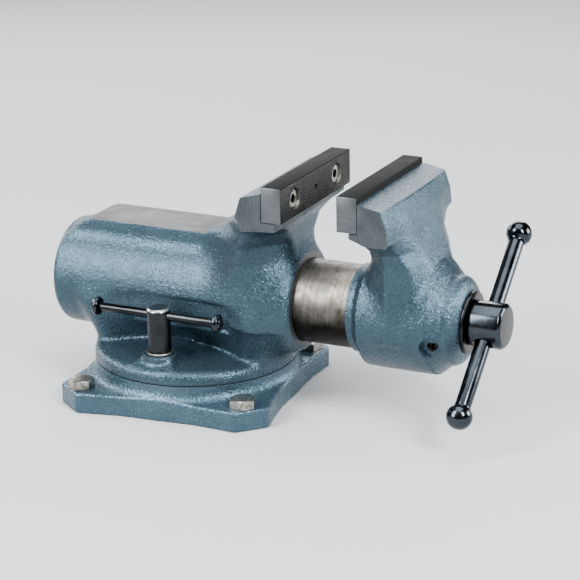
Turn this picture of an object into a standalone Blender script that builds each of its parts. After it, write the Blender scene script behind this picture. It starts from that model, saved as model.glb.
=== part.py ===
"""Bench vise with a round slide bar, a swivel base and a side lock.

Frame: +X runs along the screw towards the handle, +Z is up, and the side lock is on -Y.
The origin is on the swivel axis at the underside of the base.
"""
import math

import bmesh
import bpy
from mathutils import Matrix, Vector

MM = 0.001
GAP = 0.3 * MM

# Jaws
JAW_WIDTH = 101.6 * MM
INSERT_THICKNESS = 13.3 * MM
INSERT_HEIGHT = 22.2 * MM
INSERT_TOP_Z = 156.0 * MM
REAR_FACE_X = 88.5 * MM
JAW_OPENING = 36.8 * MM
INSERT_SCREW_Y = 30.3 * MM
INSERT_SCREW_HEAD_R = 6.4 * MM
INSERT_SCREW_HEAD_T = 5.0 * MM
INSERT_SCREW_SHANK_R = 3.9 * MM
INSERT_SCREW_DEPTH = 22.0 * MM
INSERT_SCREW_SINK = 1.6 * MM
LEDGE_SETBACK = 4.5 * MM

# Screw line: slide bar, spindle and nut
SCREW_Z = 69.6 * MM
BODY_R = 35.2 * MM
SLIDE_BAR_R = 26.6 * MM
SLIDE_BAR_BORE_R = 17.5 * MM
SLIDE_BAR_REAR_X = -36.0 * MM
SLIDE_BAR_FRONT_X = 150.0 * MM
KEYWAY_HALF_W = 4.4 * MM
KEYWAY_DEPTH = 4.2 * MM
KEYWAY_FRONT_X = 119.0 * MM
SPINDLE_R = 9.0 * MM
SPINDLE_REAR_X = -44.0 * MM
JOURNAL_R = 11.0 * MM
HUB_R = 14.35 * MM
HUB_FRONT_X = 215.4 * MM
RETAINING_X = 178.6 * MM
RETAINING_R = 3.0 * MM
RETAINING_ANGLE = math.radians(195.0)
WASHER_X = 192.0 * MM
WASHER_T = 2.0 * MM
WASHER_R = 19.6 * MM
NUT_R = 15.0 * MM
NUT_HEAD_T = 8.2 * MM
NUT_FRONT_X = 5.0 * MM

# Handle through the spindle hub
HANDLE_X = 204.0 * MM
HANDLE_R = 5.0 * MM
HANDLE_HALF = 65.1 * MM
HANDLE_SLID = 0.9 * MM
HANDLE_TILT = math.radians(48.8)
KNOB_R = 8.2 * MM
KNOB_SEAT = 5.8 * MM

# Rear (static) casting
BARREL_REAR_X = -88.0 * MM
BARREL_WALL = 6.0 * MM
BORE_FRONT_X = 82.7 * MM
COLLAR_R = 33.5 * MM
ANVIL_Z = 111.1 * MM
ANVIL_HALF_W = 18.1 * MM
ANVIL_REAR_X = -64.9 * MM
ANVIL_FRONT_X = 20.5 * MM
FLANGE_R = 66.8 * MM
FLANGE_TOP_Z = 34.4 * MM
POCKET_R = 61.0 * MM
POCKET_Y = 76.0 * MM
KEY_X = 74.0 * MM
KEY_HALF_L = 6.0 * MM
KEY_HALF_W = 4.0 * MM
KEY_SCREW_R = 2.3 * MM

# Front (moving) casting
FRONT_COLLAR_X = 119.5 * MM
FRONT_COLLAR_R = 28.2 * MM

# Base
BASE_TURN = math.radians(5.7)
BASE_HALF_X = 71.9 * MM
BASE_HALF_Y = 73.0 * MM
BASE_CHAMFER_X = 17.5 * MM
BASE_CHAMFER_Y = 15.2 * MM
BASE_SIDE_SAG = 4.6 * MM
PLATE_T = 13.1 * MM
BASE_TOP_Z = 23.5 * MM
NEAR_BOLT = (55.5 * MM, 60.5 * MM)
FAR_BOLT = (60.0 * MM, 52.0 * MM)
BOLT_HEAD_AF = 16.0 * MM
BOLT_HEAD_H = 6.5 * MM
BOLT_R = 5.0 * MM
BOLT_HOLE_R = 5.5 * MM
PIVOT_R = 5.7 * MM
PIVOT_HOLE_R = 6.2 * MM
PIVOT_BOTTOM_Z = 6.5 * MM

# Swivel lock on the near side
LOCK_Y = -48.8 * MM
LOCK_SLOT_HALF_W = 5.4 * MM
LOCK_HEAD_HALF = 8.6 * MM
LOCK_CAVITY_HALF = 10.2 * MM
LOCK_CAVITY_Z = (7.5 * MM, 17.2 * MM)
LOCK_STUD_R = 4.8 * MM
LOCK_BOSS_R = 12.5 * MM
LOCK_BOSS_Z = 38.2 * MM
LOCK_NUT_R = 7.5 * MM
LOCK_NUT_TOP_Z = 68.6 * MM
LOCK_WASHER_R = 8.9 * MM
LOCK_BAR_Z = 63.6 * MM
LOCK_BAR_R = 2.8 * MM
LOCK_BAR_HALF = 41.0 * MM
LOCK_BAR_CENTRE_X = -1.4 * MM
LOCK_CAP_R = 6.1 * MM
LOCK_CAP_T = 5.0 * MM

# Facets round each size of circle
BIG = 48
MEDIUM = 36
SMALL = 28
TINY = 16

PART_COLLECTION = "bench_vise"
CUTTER_COLLECTION = "construction"
ALONG_X = Matrix.Rotation(math.radians(90.0), 4, "Y")
ROD_TURN = math.radians(1.7)


def mm(*values):
    """Turn millimetres into a tuple of metres."""
    return tuple(value * MM for value in values)


# ---------------------------------------------------------------- scene helpers

def clear_scene():
    for item in list(bpy.data.objects):
        bpy.data.objects.remove(item, do_unlink=True)
    for group in list(bpy.data.collections):
        bpy.data.collections.remove(group)


def new_collection(name):
    group = bpy.data.collections.new(name)
    bpy.context.scene.collection.children.link(group)
    return group


def make_material(name, colour, metallic, roughness):
    made = bpy.data.materials.new(name)
    made.use_nodes = True
    shader = made.node_tree.nodes["Principled BSDF"]
    shader.inputs["Base Color"].default_value = (*colour, 1.0)
    shader.inputs["Metallic"].default_value = metallic
    shader.inputs["Roughness"].default_value = roughness
    return made


def place(name, mesh):
    """Link a mesh as a construction object; keep() turns it into a part."""
    item = bpy.data.objects.new(name, mesh)
    bpy.data.collections[CUTTER_COLLECTION].objects.link(item)
    item.hide_render = True
    item.display_type = "WIRE"
    return item


def keep(item, material, smooth_angle=30.0):
    """Make an object one of the vise's parts."""
    bpy.data.collections[CUTTER_COLLECTION].objects.unlink(item)
    bpy.data.collections[PART_COLLECTION].objects.link(item)
    item.hide_render = False
    item.display_type = "TEXTURED"
    item.data.materials.clear()
    item.data.materials.append(material)
    if item.type == "MESH":
        item.data.shade_smooth()
        item.data.set_sharp_from_angle(angle=math.radians(smooth_angle))
    return item


def mesh_from(name, build):
    """Make a mesh object from a function that fills a bmesh."""
    shape = bmesh.new()
    build(shape)
    bmesh.ops.recalc_face_normals(shape, faces=shape.faces)
    mesh = bpy.data.meshes.new(name)
    shape.to_mesh(mesh)
    shape.free()
    return place(name, mesh)


# ---------------------------------------------------------------- shape helpers

def box(name, low, high):
    low = Vector(low)
    high = Vector(high)
    middle = Matrix.Translation((low + high) / 2)
    size = Matrix.Diagonal((*(high - low), 1.0))

    def build(shape):
        bmesh.ops.create_cube(shape, size=1.0, matrix=middle @ size)

    return mesh_from(name, build)


def rod(name, radius, start, end, sides=SMALL, end_radius=None):
    """A cylinder, or a cone where end_radius is given, from start to end."""
    start = Vector(start)
    end = Vector(end)
    along = end - start
    turn = along.to_track_quat("Z", "Y").to_matrix().to_4x4() @ Matrix.Rotation(ROD_TURN, 4, "Z")
    where = Matrix.Translation((start + end) / 2) @ turn

    def build(shape):
        bmesh.ops.create_cone(shape, cap_ends=True, segments=sides, radius1=radius,
                              radius2=radius if end_radius is None else end_radius,
                              depth=along.length, matrix=where)

    return mesh_from(name, build)


def ball(name, centre, radii, sides=TINY):
    where = Matrix.Translation(centre) @ Matrix.Diagonal((*radii, 1.0))

    def build(shape):
        bmesh.ops.create_uvsphere(shape, u_segments=sides, v_segments=sides // 2,
                                  radius=1.0, matrix=where)

    return mesh_from(name, build)


def turned(name, profile, sides=MEDIUM, closed=False, frame=None):
    """Spin a profile of (radius, height) points about Z, listed from top to bottom.

    A closed profile makes a ring; an open one starts and ends on the axis.
    """
    points = [(radius, 0.0, height) for radius, height in profile]
    edges = [(index, index + 1) for index in range(len(points) - 1)]
    if closed:
        edges.append((len(points) - 1, 0))
    mesh = bpy.data.meshes.new(name)
    mesh.from_pydata(points, edges, [])
    item = place(name, mesh)
    spin = item.modifiers.new("spin", "SCREW")
    spin.axis = "Z"
    spin.steps = sides
    spin.render_steps = sides
    spin.use_merge_vertices = True
    spin.merge_threshold = 0.00001
    item.matrix_world = frame if frame is not None else Matrix.Identity(4)
    return item


def turned_along_x(name, profile, sides=MEDIUM, closed=False, z=SCREW_Z):
    """The same with the axis along X at height z; heights become X, front to rear."""
    frame = Matrix.Translation((0.0, 0.0, z)) @ ALONG_X
    return turned(name, profile, sides, closed, frame)


def prism(name, outline, plane, low, high):
    """Extrude a flat outline: plane "XY" along Z, or "XZ" along Y, from low to high."""
    curve = bpy.data.curves.new(name, "CURVE")
    curve.dimensions = "2D"
    curve.fill_mode = "BOTH"
    curve.extrude = (high - low) / 2
    spline = curve.splines.new("POLY")
    spline.points.add(len(outline) - 1)
    for point, (first, second) in zip(spline.points, outline):
        point.co = (first, second, 0.0, 1.0)
    spline.use_cyclic_u = True
    middle = (low + high) / 2
    where = Matrix.Translation((0.0, 0.0, middle))
    if plane == "XZ":
        where = Matrix.Translation((0.0, middle, 0.0)) @ Matrix.Rotation(math.radians(90.0), 4, "X")
    return solid_from_curve(name, curve, where)


def solid_from_curve(name, curve, where):
    """Turn a curve into a closed mesh object, with its caps welded on."""
    source = bpy.data.objects.new(name + "_curve", curve)
    bpy.data.collections[CUTTER_COLLECTION].objects.link(source)
    source.matrix_world = where
    bpy.context.view_layer.update()
    evaluated = source.evaluated_get(bpy.context.evaluated_depsgraph_get())
    mesh = bpy.data.meshes.new_from_object(evaluated)
    mesh.transform(where)
    shape = bmesh.new()
    shape.from_mesh(mesh)
    bmesh.ops.remove_doubles(shape, verts=shape.verts, dist=0.00001)
    bmesh.ops.recalc_face_normals(shape, faces=shape.faces)
    shape.to_mesh(mesh)
    shape.free()
    bpy.data.objects.remove(source, do_unlink=True)
    return place(name, mesh)


def loft(name, sections):
    """Skin horizontal sections (z, [(x, half width), ...]) listed from bottom to top."""
    def build(shape):
        rings = []
        for height, half in sections:
            near = [(x, -width) for x, width in half]
            far = [(x, width) for x, width in reversed(half)]
            rings.append([shape.verts.new((x * MM, y * MM, height * MM)) for x, y in near + far])
        count = len(rings[0])
        for lower, upper in zip(rings, rings[1:]):
            for index in range(count):
                after = (index + 1) % count
                shape.faces.new((lower[index], lower[after], upper[after], upper[index]))
        shape.faces.new(rings[0])
        shape.faces.new(rings[-1])

    return mesh_from(name, build)


def boolean(target, other, operation):
    step = target.modifiers.new(operation.lower() + "_" + other.name, "BOOLEAN")
    step.operation = operation
    step.object = other
    step.solver = "EXACT"


def join(target, *others):
    for other in others:
        boolean(target, other, "UNION")


def cut(target, *others):
    for other in others:
        boolean(target, other, "DIFFERENCE")


def round_edges(item, width, segments=2, angle=40.0):
    step = item.modifiers.new("rounded", "BEVEL")
    step.width = width
    step.segments = segments
    step.limit_method = "ANGLE"
    step.angle_limit = math.radians(angle)
    step.use_clamp_overlap = True


def final_mesh(item):
    """The evaluated mesh of a construction object, which is then removed."""
    bpy.context.view_layer.update()
    evaluated = item.evaluated_get(bpy.context.evaluated_depsgraph_get())
    mesh = bpy.data.meshes.new_from_object(evaluated)
    mesh.transform(item.matrix_world)
    bpy.data.objects.remove(item, do_unlink=True)
    return mesh


def keep_copies(name, mesh, places, material):
    """Parts name_1, name_2 and so on that share one mesh, each in its own place."""
    for number, where in enumerate(places, 1):
        item = place("%s_%d" % (name, number), mesh)
        item.matrix_world = where
        keep(item, material)


def set_origin(item, point):
    """Move an object's origin onto a joint axis and leave its shape where it is."""
    offset = Matrix.Translation(point)
    item.data.transform(offset.inverted() @ item.matrix_world)
    item.matrix_world = offset


# ---------------------------------------------------------------- base

def base_outline():
    """Square plan with cut corners and sides that bow inwards."""
    corner = [(BASE_HALF_X, BASE_HALF_Y - BASE_CHAMFER_Y), (BASE_HALF_X - BASE_CHAMFER_X, BASE_HALF_Y)]
    quarters = [corner,
                [(-x, y) for x, y in reversed(corner)],
                [(-x, -y) for x, y in corner],
                [(x, -y) for x, y in reversed(corner)]]
    outline = []
    steps = 8
    for index, (start, end) in enumerate(quarters):
        following = quarters[(index + 1) % 4][0]
        outline.append(start)
        outline.append(end)
        inward = Vector((-(following[1] - end[1]), following[0] - end[0])).normalized()
        for step in range(1, steps):
            share = step / steps
            sag = BASE_SIDE_SAG * 4.0 * share * (1.0 - share)
            x = end[0] + (following[0] - end[0]) * share + inward.x * sag
            y = end[1] + (following[1] - end[1]) * share + inward.y * sag
            outline.append((x, y))
    return outline


def make_base(paint):
    base = prism("base_casting", base_outline(), "XY", 0.0, PLATE_T)
    base.data.transform(Matrix.Rotation(BASE_TURN, 4, "Z"))
    round_edges(base, 1.6 * MM, 2, 50.0)
    disc = turned("base_disc", [(0.0, BASE_TOP_Z), (FLANGE_R - 1.0 * MM, BASE_TOP_Z),
                                (FLANGE_R, BASE_TOP_Z - 1.0 * MM), (FLANGE_R + 0.2 * MM, 9.0 * MM),
                                (0.0, 9.0 * MM)], BIG, frame=Matrix.Rotation(ROD_TURN, 4, "Z"))
    slot_radius = -LOCK_Y
    low, high = LOCK_CAVITY_Z
    slot = turned("swivel_slot", [(slot_radius + LOCK_SLOT_HALF_W, 26.0 * MM),
                                  (slot_radius + LOCK_SLOT_HALF_W, high),
                                  (slot_radius + LOCK_CAVITY_HALF, high),
                                  (slot_radius + LOCK_CAVITY_HALF, low),
                                  (slot_radius - LOCK_CAVITY_HALF, low),
                                  (slot_radius - LOCK_CAVITY_HALF, high),
                                  (slot_radius - LOCK_SLOT_HALF_W, high),
                                  (slot_radius - LOCK_SLOT_HALF_W, 26.0 * MM)], BIG, closed=True)
    entry = rod("slot_entry", LOCK_CAVITY_HALF + 0.5 * MM, (0.0, slot_radius, low + MM),
                (0.0, slot_radius, 26.0 * MM), TINY)
    join(base, disc)
    cut(base, slot, entry)
    for index, spot in enumerate(bolt_spots()):
        hole = rod("bolt_hole_%d" % index, BOLT_HOLE_R, (*spot, -MM), (*spot, 20.0 * MM), TINY)
        seat = rod("bolt_seat_%d" % index, 11.0 * MM, (*spot, PLATE_T), (*spot, 30.0 * MM), TINY)
        cut(base, seat, hole)
    tapped = rod("pivot_thread", PIVOT_R + GAP, (0.0, 0.0, PIVOT_BOTTOM_Z - GAP), (0.0, 0.0, 26.0 * MM), 20)
    cut(base, tapped)
    return keep(base, paint)


def bolt_spots():
    turn = Matrix.Rotation(BASE_TURN, 2)
    near = [(side * NEAR_BOLT[0], -NEAR_BOLT[1]) for side in (-1, 1)]
    far = [(side * FAR_BOLT[0], FAR_BOLT[1]) for side in (1, -1)]
    return [tuple(turn @ Vector(spot)) for spot in near + far]


def make_hold_down_bolts(zinc):
    head = rod("bolt_head", BOLT_HEAD_AF / math.sqrt(3.0), (0.0, 0.0, PLATE_T + GAP),
               (0.0, 0.0, PLATE_T + GAP + BOLT_HEAD_H), 6)
    round_edges(head, 0.8 * MM, 1, 50.0)
    join(head, rod("bolt_shank", BOLT_R, (0.0, 0.0, 0.4 * MM), (0.0, 0.0, PLATE_T + 2.0 * MM), TINY))
    places = [Matrix.Translation((*spot, 0.0)) @ Matrix.Rotation(0.35 * index, 4, "Z")
              for index, spot in enumerate(bolt_spots())]
    keep_copies("hold_down_bolt", final_mesh(head), places, zinc)


def make_pivot(steel):
    shank = rod("pivot_bolt", PIVOT_R, (0.0, 0.0, PIVOT_BOTTOM_Z), (0.0, 0.0, 36.0 * MM), TINY)
    head = rod("pivot_head", 9.5 * MM, (0.0, 0.0, 34.2 * MM), (0.0, 0.0, 40.5 * MM), TINY)
    socket = rod("pivot_socket", 4.6 * MM, (0.0, 0.0, 37.0 * MM), (0.0, 0.0, 42.0 * MM), 6)
    join(shank, head)
    cut(shank, socket)
    keep(shank, steel)
    washer = turned("pivot_washer", [(12.5 * MM, 33.9 * MM), (12.5 * MM, 32.1 * MM),
                                     (PIVOT_HOLE_R, 32.1 * MM), (PIVOT_HOLE_R, 33.9 * MM)],
                    SMALL, closed=True)
    keep(washer, steel)


# ---------------------------------------------------------------- rear casting

def rear_column():
    """Column that carries the fixed jaw, flaring out from the barrel to the jaw block."""
    return loft("rear_column", [
        (62.0, [(18, 24), (32, 34.0), (48, 35.5), (64, 34.5), (78, 26)]),
        (85.0, [(19, 20), (35, 33), (49, 38.5), (63, 34.5), (78.5, 21)]),
        (100.0, [(21, 17.5), (38, 33), (52, 41.5), (64, 33.5), (78, 17.5)]),
        (112.0, [(24, 17.5), (42, 34), (56, 45), (66, 34.5), (77.5, 19)]),
        (121.0, [(36, 20), (50, 38), (59, 48.5), (69, 41.5), (79, 26)]),
        (128.5, [(47, 30), (54, 45), (60.5, 50.7), (75, 50.0), (83, 45)]),
    ])


def anvil():
    """Raised pad along the top of the barrel, rounded down at the rear end."""
    outline = [(ANVIL_REAR_X, ANVIL_Z), mm(-70.5, 108.9), mm(-76.0, 105.0), mm(-80.5, 99.5),
               mm(-82.0, 92.0), mm(30.0, 92.0), mm(30.0, 112.5), (ANVIL_FRONT_X, ANVIL_Z)]
    return prism("anvil", outline, "XZ", -ANVIL_HALF_W, ANVIL_HALF_W)


def rear_jaw_block():
    ledge_x = REAR_FACE_X - LEDGE_SETBACK
    seat_x = REAR_FACE_X - INSERT_THICKNESS - GAP
    seat_z = INSERT_TOP_Z - INSERT_HEIGHT - GAP
    outline = [(ledge_x, seat_z), (seat_x, seat_z), (seat_x, 151.7 * MM), mm(61.1, 147.7),
               mm(57.2, 135.7), mm(61.0, 127.0), (ledge_x, 128.6 * MM)]
    return prism("rear_jaw_block", outline, "XZ", -JAW_WIDTH / 2, JAW_WIDTH / 2)


def pedestal():
    """Web between the flange and the barrel, waisted on each side around the lock."""
    web = turned("pedestal", [(0.0, SCREW_Z), (FLANGE_R + 3.5 * MM, SCREW_Z - 12.0 * MM),
                              (FLANGE_R - 0.4 * MM, 44.0 * MM), (FLANGE_R - 2.6 * MM, 28.0 * MM),
                              (0.0, 28.0 * MM)], BIG, frame=Matrix.Rotation(ROD_TURN, 4, "Z"))
    for side in (-1, 1):
        middle = side * 67.5 * MM
        wall = box("pedestal_side_%d" % side,
                   (-0.1, middle - 32.5 * MM, 0.02), (0.1, middle + 32.5 * MM, 0.09))
        pocket = rod("pedestal_pocket_%d" % side, POCKET_R, (0.0, side * POCKET_Y, FLANGE_TOP_Z),
                     (0.0, side * POCKET_Y, 0.09), BIG)
        cut(web, wall, pocket)
    return web


def make_vise_body(paint):
    body = turned_along_x("vise_body_casting", [
        (0.0, BORE_FRONT_X), (COLLAR_R - 1.0 * MM, BORE_FRONT_X), (COLLAR_R, BORE_FRONT_X - 1.0 * MM),
        (34.6 * MM, 74.0 * MM), (36.6 * MM, 62.0 * MM), (37.2 * MM, 48.0 * MM), (BODY_R, 22.0 * MM),
        (BODY_R, BARREL_REAR_X + 3.0 * MM), (BODY_R - 1.0 * MM, BARREL_REAR_X + 0.8 * MM),
        (BODY_R - 3.4 * MM, BARREL_REAR_X), (0.0, BARREL_REAR_X)], BIG)
    flange = turned("swivel_flange", [(0.0, FLANGE_TOP_Z), (FLANGE_R - 2.4 * MM, FLANGE_TOP_Z - 0.4 * MM),
                                      (FLANGE_R, FLANGE_TOP_Z - 2.6 * MM), (FLANGE_R, BASE_TOP_Z + 1.0 * MM),
                                      (FLANGE_R - 0.7 * MM, BASE_TOP_Z + GAP), (0.0, BASE_TOP_Z + GAP)], BIG)
    boss = rod("lock_boss", LOCK_BOSS_R + 1.5 * MM,
               (0.0, LOCK_Y, 26.4 * MM), (0.0, LOCK_Y, LOCK_BOSS_Z), SMALL, LOCK_BOSS_R)
    rib = box("lock_rib", (-9.0 * MM, LOCK_Y, 27.2 * MM), (9.0 * MM, -10.0 * MM, LOCK_BOSS_Z - 1.0 * MM))
    join(body, flange, pedestal(), boss, rib, anvil(), rear_column(), rear_jaw_block())
    cut(body, rear_bore(), anvil_plane(), jaw_side_planes(), front_face_plane())
    cut(body, rod("body_pivot_hole", PIVOT_HOLE_R, (0.0, 0.0, 0.0), (0.0, 0.0, 50.0 * MM), TINY),
        rod("body_pivot_seat", 13.5 * MM, (0.0, 0.0, 31.8 * MM), (0.0, 0.0, 55.0 * MM), SMALL),
        rod("body_lock_hole", LOCK_STUD_R + 0.4 * MM, (0.0, LOCK_Y, 0.0), (0.0, LOCK_Y, 60.0 * MM), TINY))
    cut(body, key_pocket(), key_screw_hole(), nut_screw_hole("body_nut_screw_hole"))
    for side in (-1, 1):
        cut(body, insert_screw_hole("rear_tapped_%d" % side, REAR_FACE_X, -1, side))
    return keep(body, paint)


def rear_bore():
    rear = BARREL_REAR_X + BARREL_WALL
    return rod("rear_bore", SLIDE_BAR_R + GAP, (rear, 0.0, SCREW_Z), (0.12, 0.0, SCREW_Z), BIG)


def anvil_plane():
    """Cutter that machines the anvil flat."""
    return box("anvil_plane", (-0.12, -0.03, ANVIL_Z), (ANVIL_FRONT_X, 0.03, 0.14))


def jaw_side_planes():
    return box("jaw_side_plane", (0.03, -0.09, 0.1), (0.1, -JAW_WIDTH / 2, 0.17))


def front_face_plane():
    """Keep the jaw block's ledge clear of the moving jaw."""
    return box("front_face_plane", (REAR_FACE_X - LEDGE_SETBACK, -0.08, 0.1), (0.13, 0.08, 0.17))


def key_pocket():
    low = (KEY_X - KEY_HALF_L - GAP, -KEY_HALF_W - GAP, 38.0 * MM - GAP)
    high = (KEY_X + KEY_HALF_L + GAP, KEY_HALF_W + GAP, SCREW_Z)
    return box("key_pocket", low, high)


def key_screw_hole():
    return rod("key_screw_hole", KEY_SCREW_R + GAP, (KEY_X, 0.0, 30.0 * MM), (KEY_X, 0.0, 50.0 * MM), TINY)


def nut_screw_hole(name):
    x = BARREL_REAR_X + BARREL_WALL + NUT_HEAD_T / 2 + GAP
    return rod(name, 3.3 * MM, (x, 0.0, 30.0 * MM), (x, 0.0, 48.5 * MM), TINY)


# ---------------------------------------------------------------- front casting

def front_column():
    """Column that carries the moving jaw, leaning back from the nose to the jaw block."""
    return loft("front_column", [
        (64.0, [(131, 20), (137, 30), (150, 34), (166, 32), (178, 22)]),
        (84.0, [(131, 21), (137, 31), (152, 35), (170, 31.5), (180, 15)]),
        (98.0, [(132, 21), (138, 31), (152, 36), (167.5, 32.5), (175.5, 16)]),
        (110.0, [(134.5, 21), (139.5, 32), (152, 37), (164.5, 34.5), (170.5, 17)]),
        (119.0, [(136, 23), (140, 37), (151, 41.5), (160, 37.5), (166, 19)]),
        (127.5, [(138, 43), (142, 50), (152, 50.3), (157, 46), (162.5, 23)]),
        (138.0, [(141, 46), (146, 50), (150, 50.3), (156, 46), (160, 23)]),
        (148.0, [(142, 46), (146, 50), (149, 50.2), (153, 47), (155.5, 23)]),
    ])


def front_jaw_block():
    face_x = REAR_FACE_X + JAW_OPENING
    ledge_x = face_x + 8.0 * MM
    seat_x = face_x + INSERT_THICKNESS + GAP
    seat_z = INSERT_TOP_Z - INSERT_HEIGHT - GAP
    outline = [(ledge_x, seat_z), (ledge_x, 129.6 * MM), mm(144.0, 127.2), mm(156.0, 127.2),
               mm(158.4, 129.8), mm(157.4, 139.0), mm(153.8, 149.2), (seat_x, 152.3 * MM),
               (seat_x, seat_z)]
    return prism("front_jaw_block", outline, "XZ", -JAW_WIDTH / 2, JAW_WIDTH / 2)


def make_front_jaw(paint):
    nose = WASHER_X - GAP
    body = turned_along_x("front_jaw_casting", [
        (0.0, nose), (20.6 * MM, nose), (23.6 * MM, 189.0 * MM), (28.0 * MM, 186.0 * MM),
        (32.4 * MM, 182.2 * MM), (BODY_R, 176.0 * MM), (BODY_R, 133.0 * MM), (33.8 * MM, 129.0 * MM),
        (31.0 * MM, 126.2 * MM), (FRONT_COLLAR_R, 124.6 * MM), (FRONT_COLLAR_R, FRONT_COLLAR_X),
        (0.0, FRONT_COLLAR_X)], BIG)
    join(body, front_column(), front_jaw_block())
    cut(body,
        rod("bar_socket", SLIDE_BAR_R + GAP,
            (0.09, 0.0, SCREW_Z), (SLIDE_BAR_FRONT_X + GAP, 0.0, SCREW_Z), BIG),
        rod("journal_hole", JOURNAL_R + 0.4 * MM, (0.14, 0.0, SCREW_Z), (0.2, 0.0, SCREW_Z), SMALL),
        ball("retaining_recess", (181.5 * MM, -36.5 * MM, 57.0 * MM), mm(8.5, 5.0, 10.0)),
        retaining_rod("retaining_hole", RETAINING_R + GAP, 5.0 * MM, 45.0 * MM))
    for side in (-1, 1):
        cut(body, insert_screw_hole("front_tapped_%d" % side, REAR_FACE_X + JAW_OPENING, 1, side))
    return keep(body, paint)


def retaining_rod(name, radius, inner, outer):
    """A rod that points at the screw axis from below the near side."""
    out = Vector((0.0, math.cos(RETAINING_ANGLE), math.sin(RETAINING_ANGLE)))
    centre = Vector((RETAINING_X, 0.0, SCREW_Z))
    return rod(name, radius, centre + out * inner, centre + out * outer, TINY)


# ---------------------------------------------------------------- screw line

def make_slide_bar(steel):
    bar = turned_along_x("slide_bar", [
        (SLIDE_BAR_R, SLIDE_BAR_FRONT_X), (SLIDE_BAR_R, SLIDE_BAR_REAR_X),
        (SLIDE_BAR_BORE_R, SLIDE_BAR_REAR_X), (SLIDE_BAR_BORE_R, SLIDE_BAR_FRONT_X)], BIG, closed=True)
    bottom = SCREW_Z - SLIDE_BAR_R
    keyway = box("keyway", (SLIDE_BAR_REAR_X - 5.0 * MM, -KEYWAY_HALF_W, bottom - 5.0 * MM),
                 (KEYWAY_FRONT_X, KEYWAY_HALF_W, bottom + KEYWAY_DEPTH))
    cut(bar, keyway)
    return keep(bar, steel)


def make_spindle(dark_steel):
    groove = RETAINING_R + 0.4 * MM
    front = WASHER_X + WASHER_T + GAP
    spindle = turned_along_x("spindle", [
        (0.0, HUB_FRONT_X), (HUB_R - 2.0 * MM, HUB_FRONT_X), (HUB_R, HUB_FRONT_X - 1.8 * MM),
        (HUB_R, front + 0.8 * MM), (HUB_R - 0.8 * MM, front), (JOURNAL_R, front),
        (JOURNAL_R, RETAINING_X + groove), (JOURNAL_R - 2.2 * MM, RETAINING_X + groove),
        (JOURNAL_R - 2.2 * MM, RETAINING_X - groove), (JOURNAL_R, RETAINING_X - groove),
        (JOURNAL_R, 152.0 * MM), (SPINDLE_R, 150.0 * MM), (SPINDLE_R, SPINDLE_REAR_X + 1.5 * MM),
        (SPINDLE_R - 1.5 * MM, SPINDLE_REAR_X), (0.0, SPINDLE_REAR_X)], MEDIUM)
    reach = handle_direction() * 0.03
    centre = Vector((HANDLE_X, 0.0, SCREW_Z))
    cut(spindle, rod("handle_hole", HANDLE_R + 0.4 * MM, centre - reach, centre + reach, TINY))
    return keep(spindle, dark_steel)


def make_nut(steel):
    rear = BARREL_REAR_X + BARREL_WALL + GAP
    nut = turned_along_x("spindle_nut", [
        (NUT_R, NUT_FRONT_X), (NUT_R, rear + NUT_HEAD_T), (SLIDE_BAR_R, rear + NUT_HEAD_T),
        (SLIDE_BAR_R, rear), (SPINDLE_R + 0.4 * MM, rear), (SPINDLE_R + 0.4 * MM, NUT_FRONT_X)],
        MEDIUM, closed=True)
    cut(nut, nut_screw_hole("nut_screw_seat"))
    keep(nut, steel)
    x = BARREL_REAR_X + BARREL_WALL + NUT_HEAD_T / 2 + GAP
    screw = rod("nut_lock_screw", 3.0 * MM, (x, 0.0, 35.4 * MM), (x, 0.0, 48.0 * MM), TINY)
    cut(screw, rod("nut_screw_socket", 1.6 * MM, (x, 0.0, 34.0 * MM), (x, 0.0, 38.5 * MM), 6))
    keep(screw, steel)


def make_thrust_parts(dark_steel, steel):
    front = WASHER_X + WASHER_T
    washer = turned_along_x("thrust_washer", [
        (WASHER_R - 0.6 * MM, front), (WASHER_R, front - 0.6 * MM), (WASHER_R, WASHER_X),
        (JOURNAL_R + 0.4 * MM, WASHER_X), (JOURNAL_R + 0.4 * MM, front)], MEDIUM, closed=True)
    keep(washer, dark_steel)
    screw = retaining_rod("spindle_retaining_screw", RETAINING_R, JOURNAL_R - 1.8 * MM, 29.0 * MM)
    cut(screw, retaining_rod("retaining_socket", 1.5 * MM, 26.0 * MM, 34.0 * MM))
    keep(screw, steel)


def make_slide_key(steel):
    key = box("slide_key",
              (KEY_X - KEY_HALF_L, -KEY_HALF_W, 38.0 * MM), (KEY_X + KEY_HALF_L, KEY_HALF_W, 46.7 * MM))
    cut(key, rod("key_tapped", KEY_SCREW_R + GAP, (KEY_X, 0.0, 36.0 * MM), (KEY_X, 0.0, 45.0 * MM), TINY))
    keep(key, steel)
    screw = rod("slide_key_screw", KEY_SCREW_R, (KEY_X, 0.0, 35.4 * MM), (KEY_X, 0.0, 44.6 * MM), TINY)
    cut(screw, rod("key_screw_socket", 1.3 * MM, (KEY_X, 0.0, 34.0 * MM), (KEY_X, 0.0, 38.0 * MM), 6))
    keep(screw, steel)


# ---------------------------------------------------------------- handle

def handle_direction():
    """Unit vector along the handle, towards its upper end."""
    return Vector((0.0, math.sin(HANDLE_TILT), math.cos(HANDLE_TILT)))


def handle_frame(distance):
    centre = Vector((HANDLE_X, 0.0, SCREW_Z)) + handle_direction() * (HANDLE_SLID + distance)
    return Matrix.Translation(centre) @ handle_direction().to_track_quat("Z", "Y").to_matrix().to_4x4()


def straight_bar(name, radius, start, end):
    """A straight round bar as a curve with a bevel."""
    curve = bpy.data.curves.new(name, "CURVE")
    curve.dimensions = "3D"
    curve.bevel_depth = radius
    curve.bevel_resolution = 6
    curve.use_fill_caps = True
    spline = curve.splines.new("POLY")
    spline.points.add(1)
    spline.points[0].co = (*start, 1.0)
    spline.points[1].co = (*end, 1.0)
    return solid_from_curve(name, curve, Matrix.Identity(4))


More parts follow.
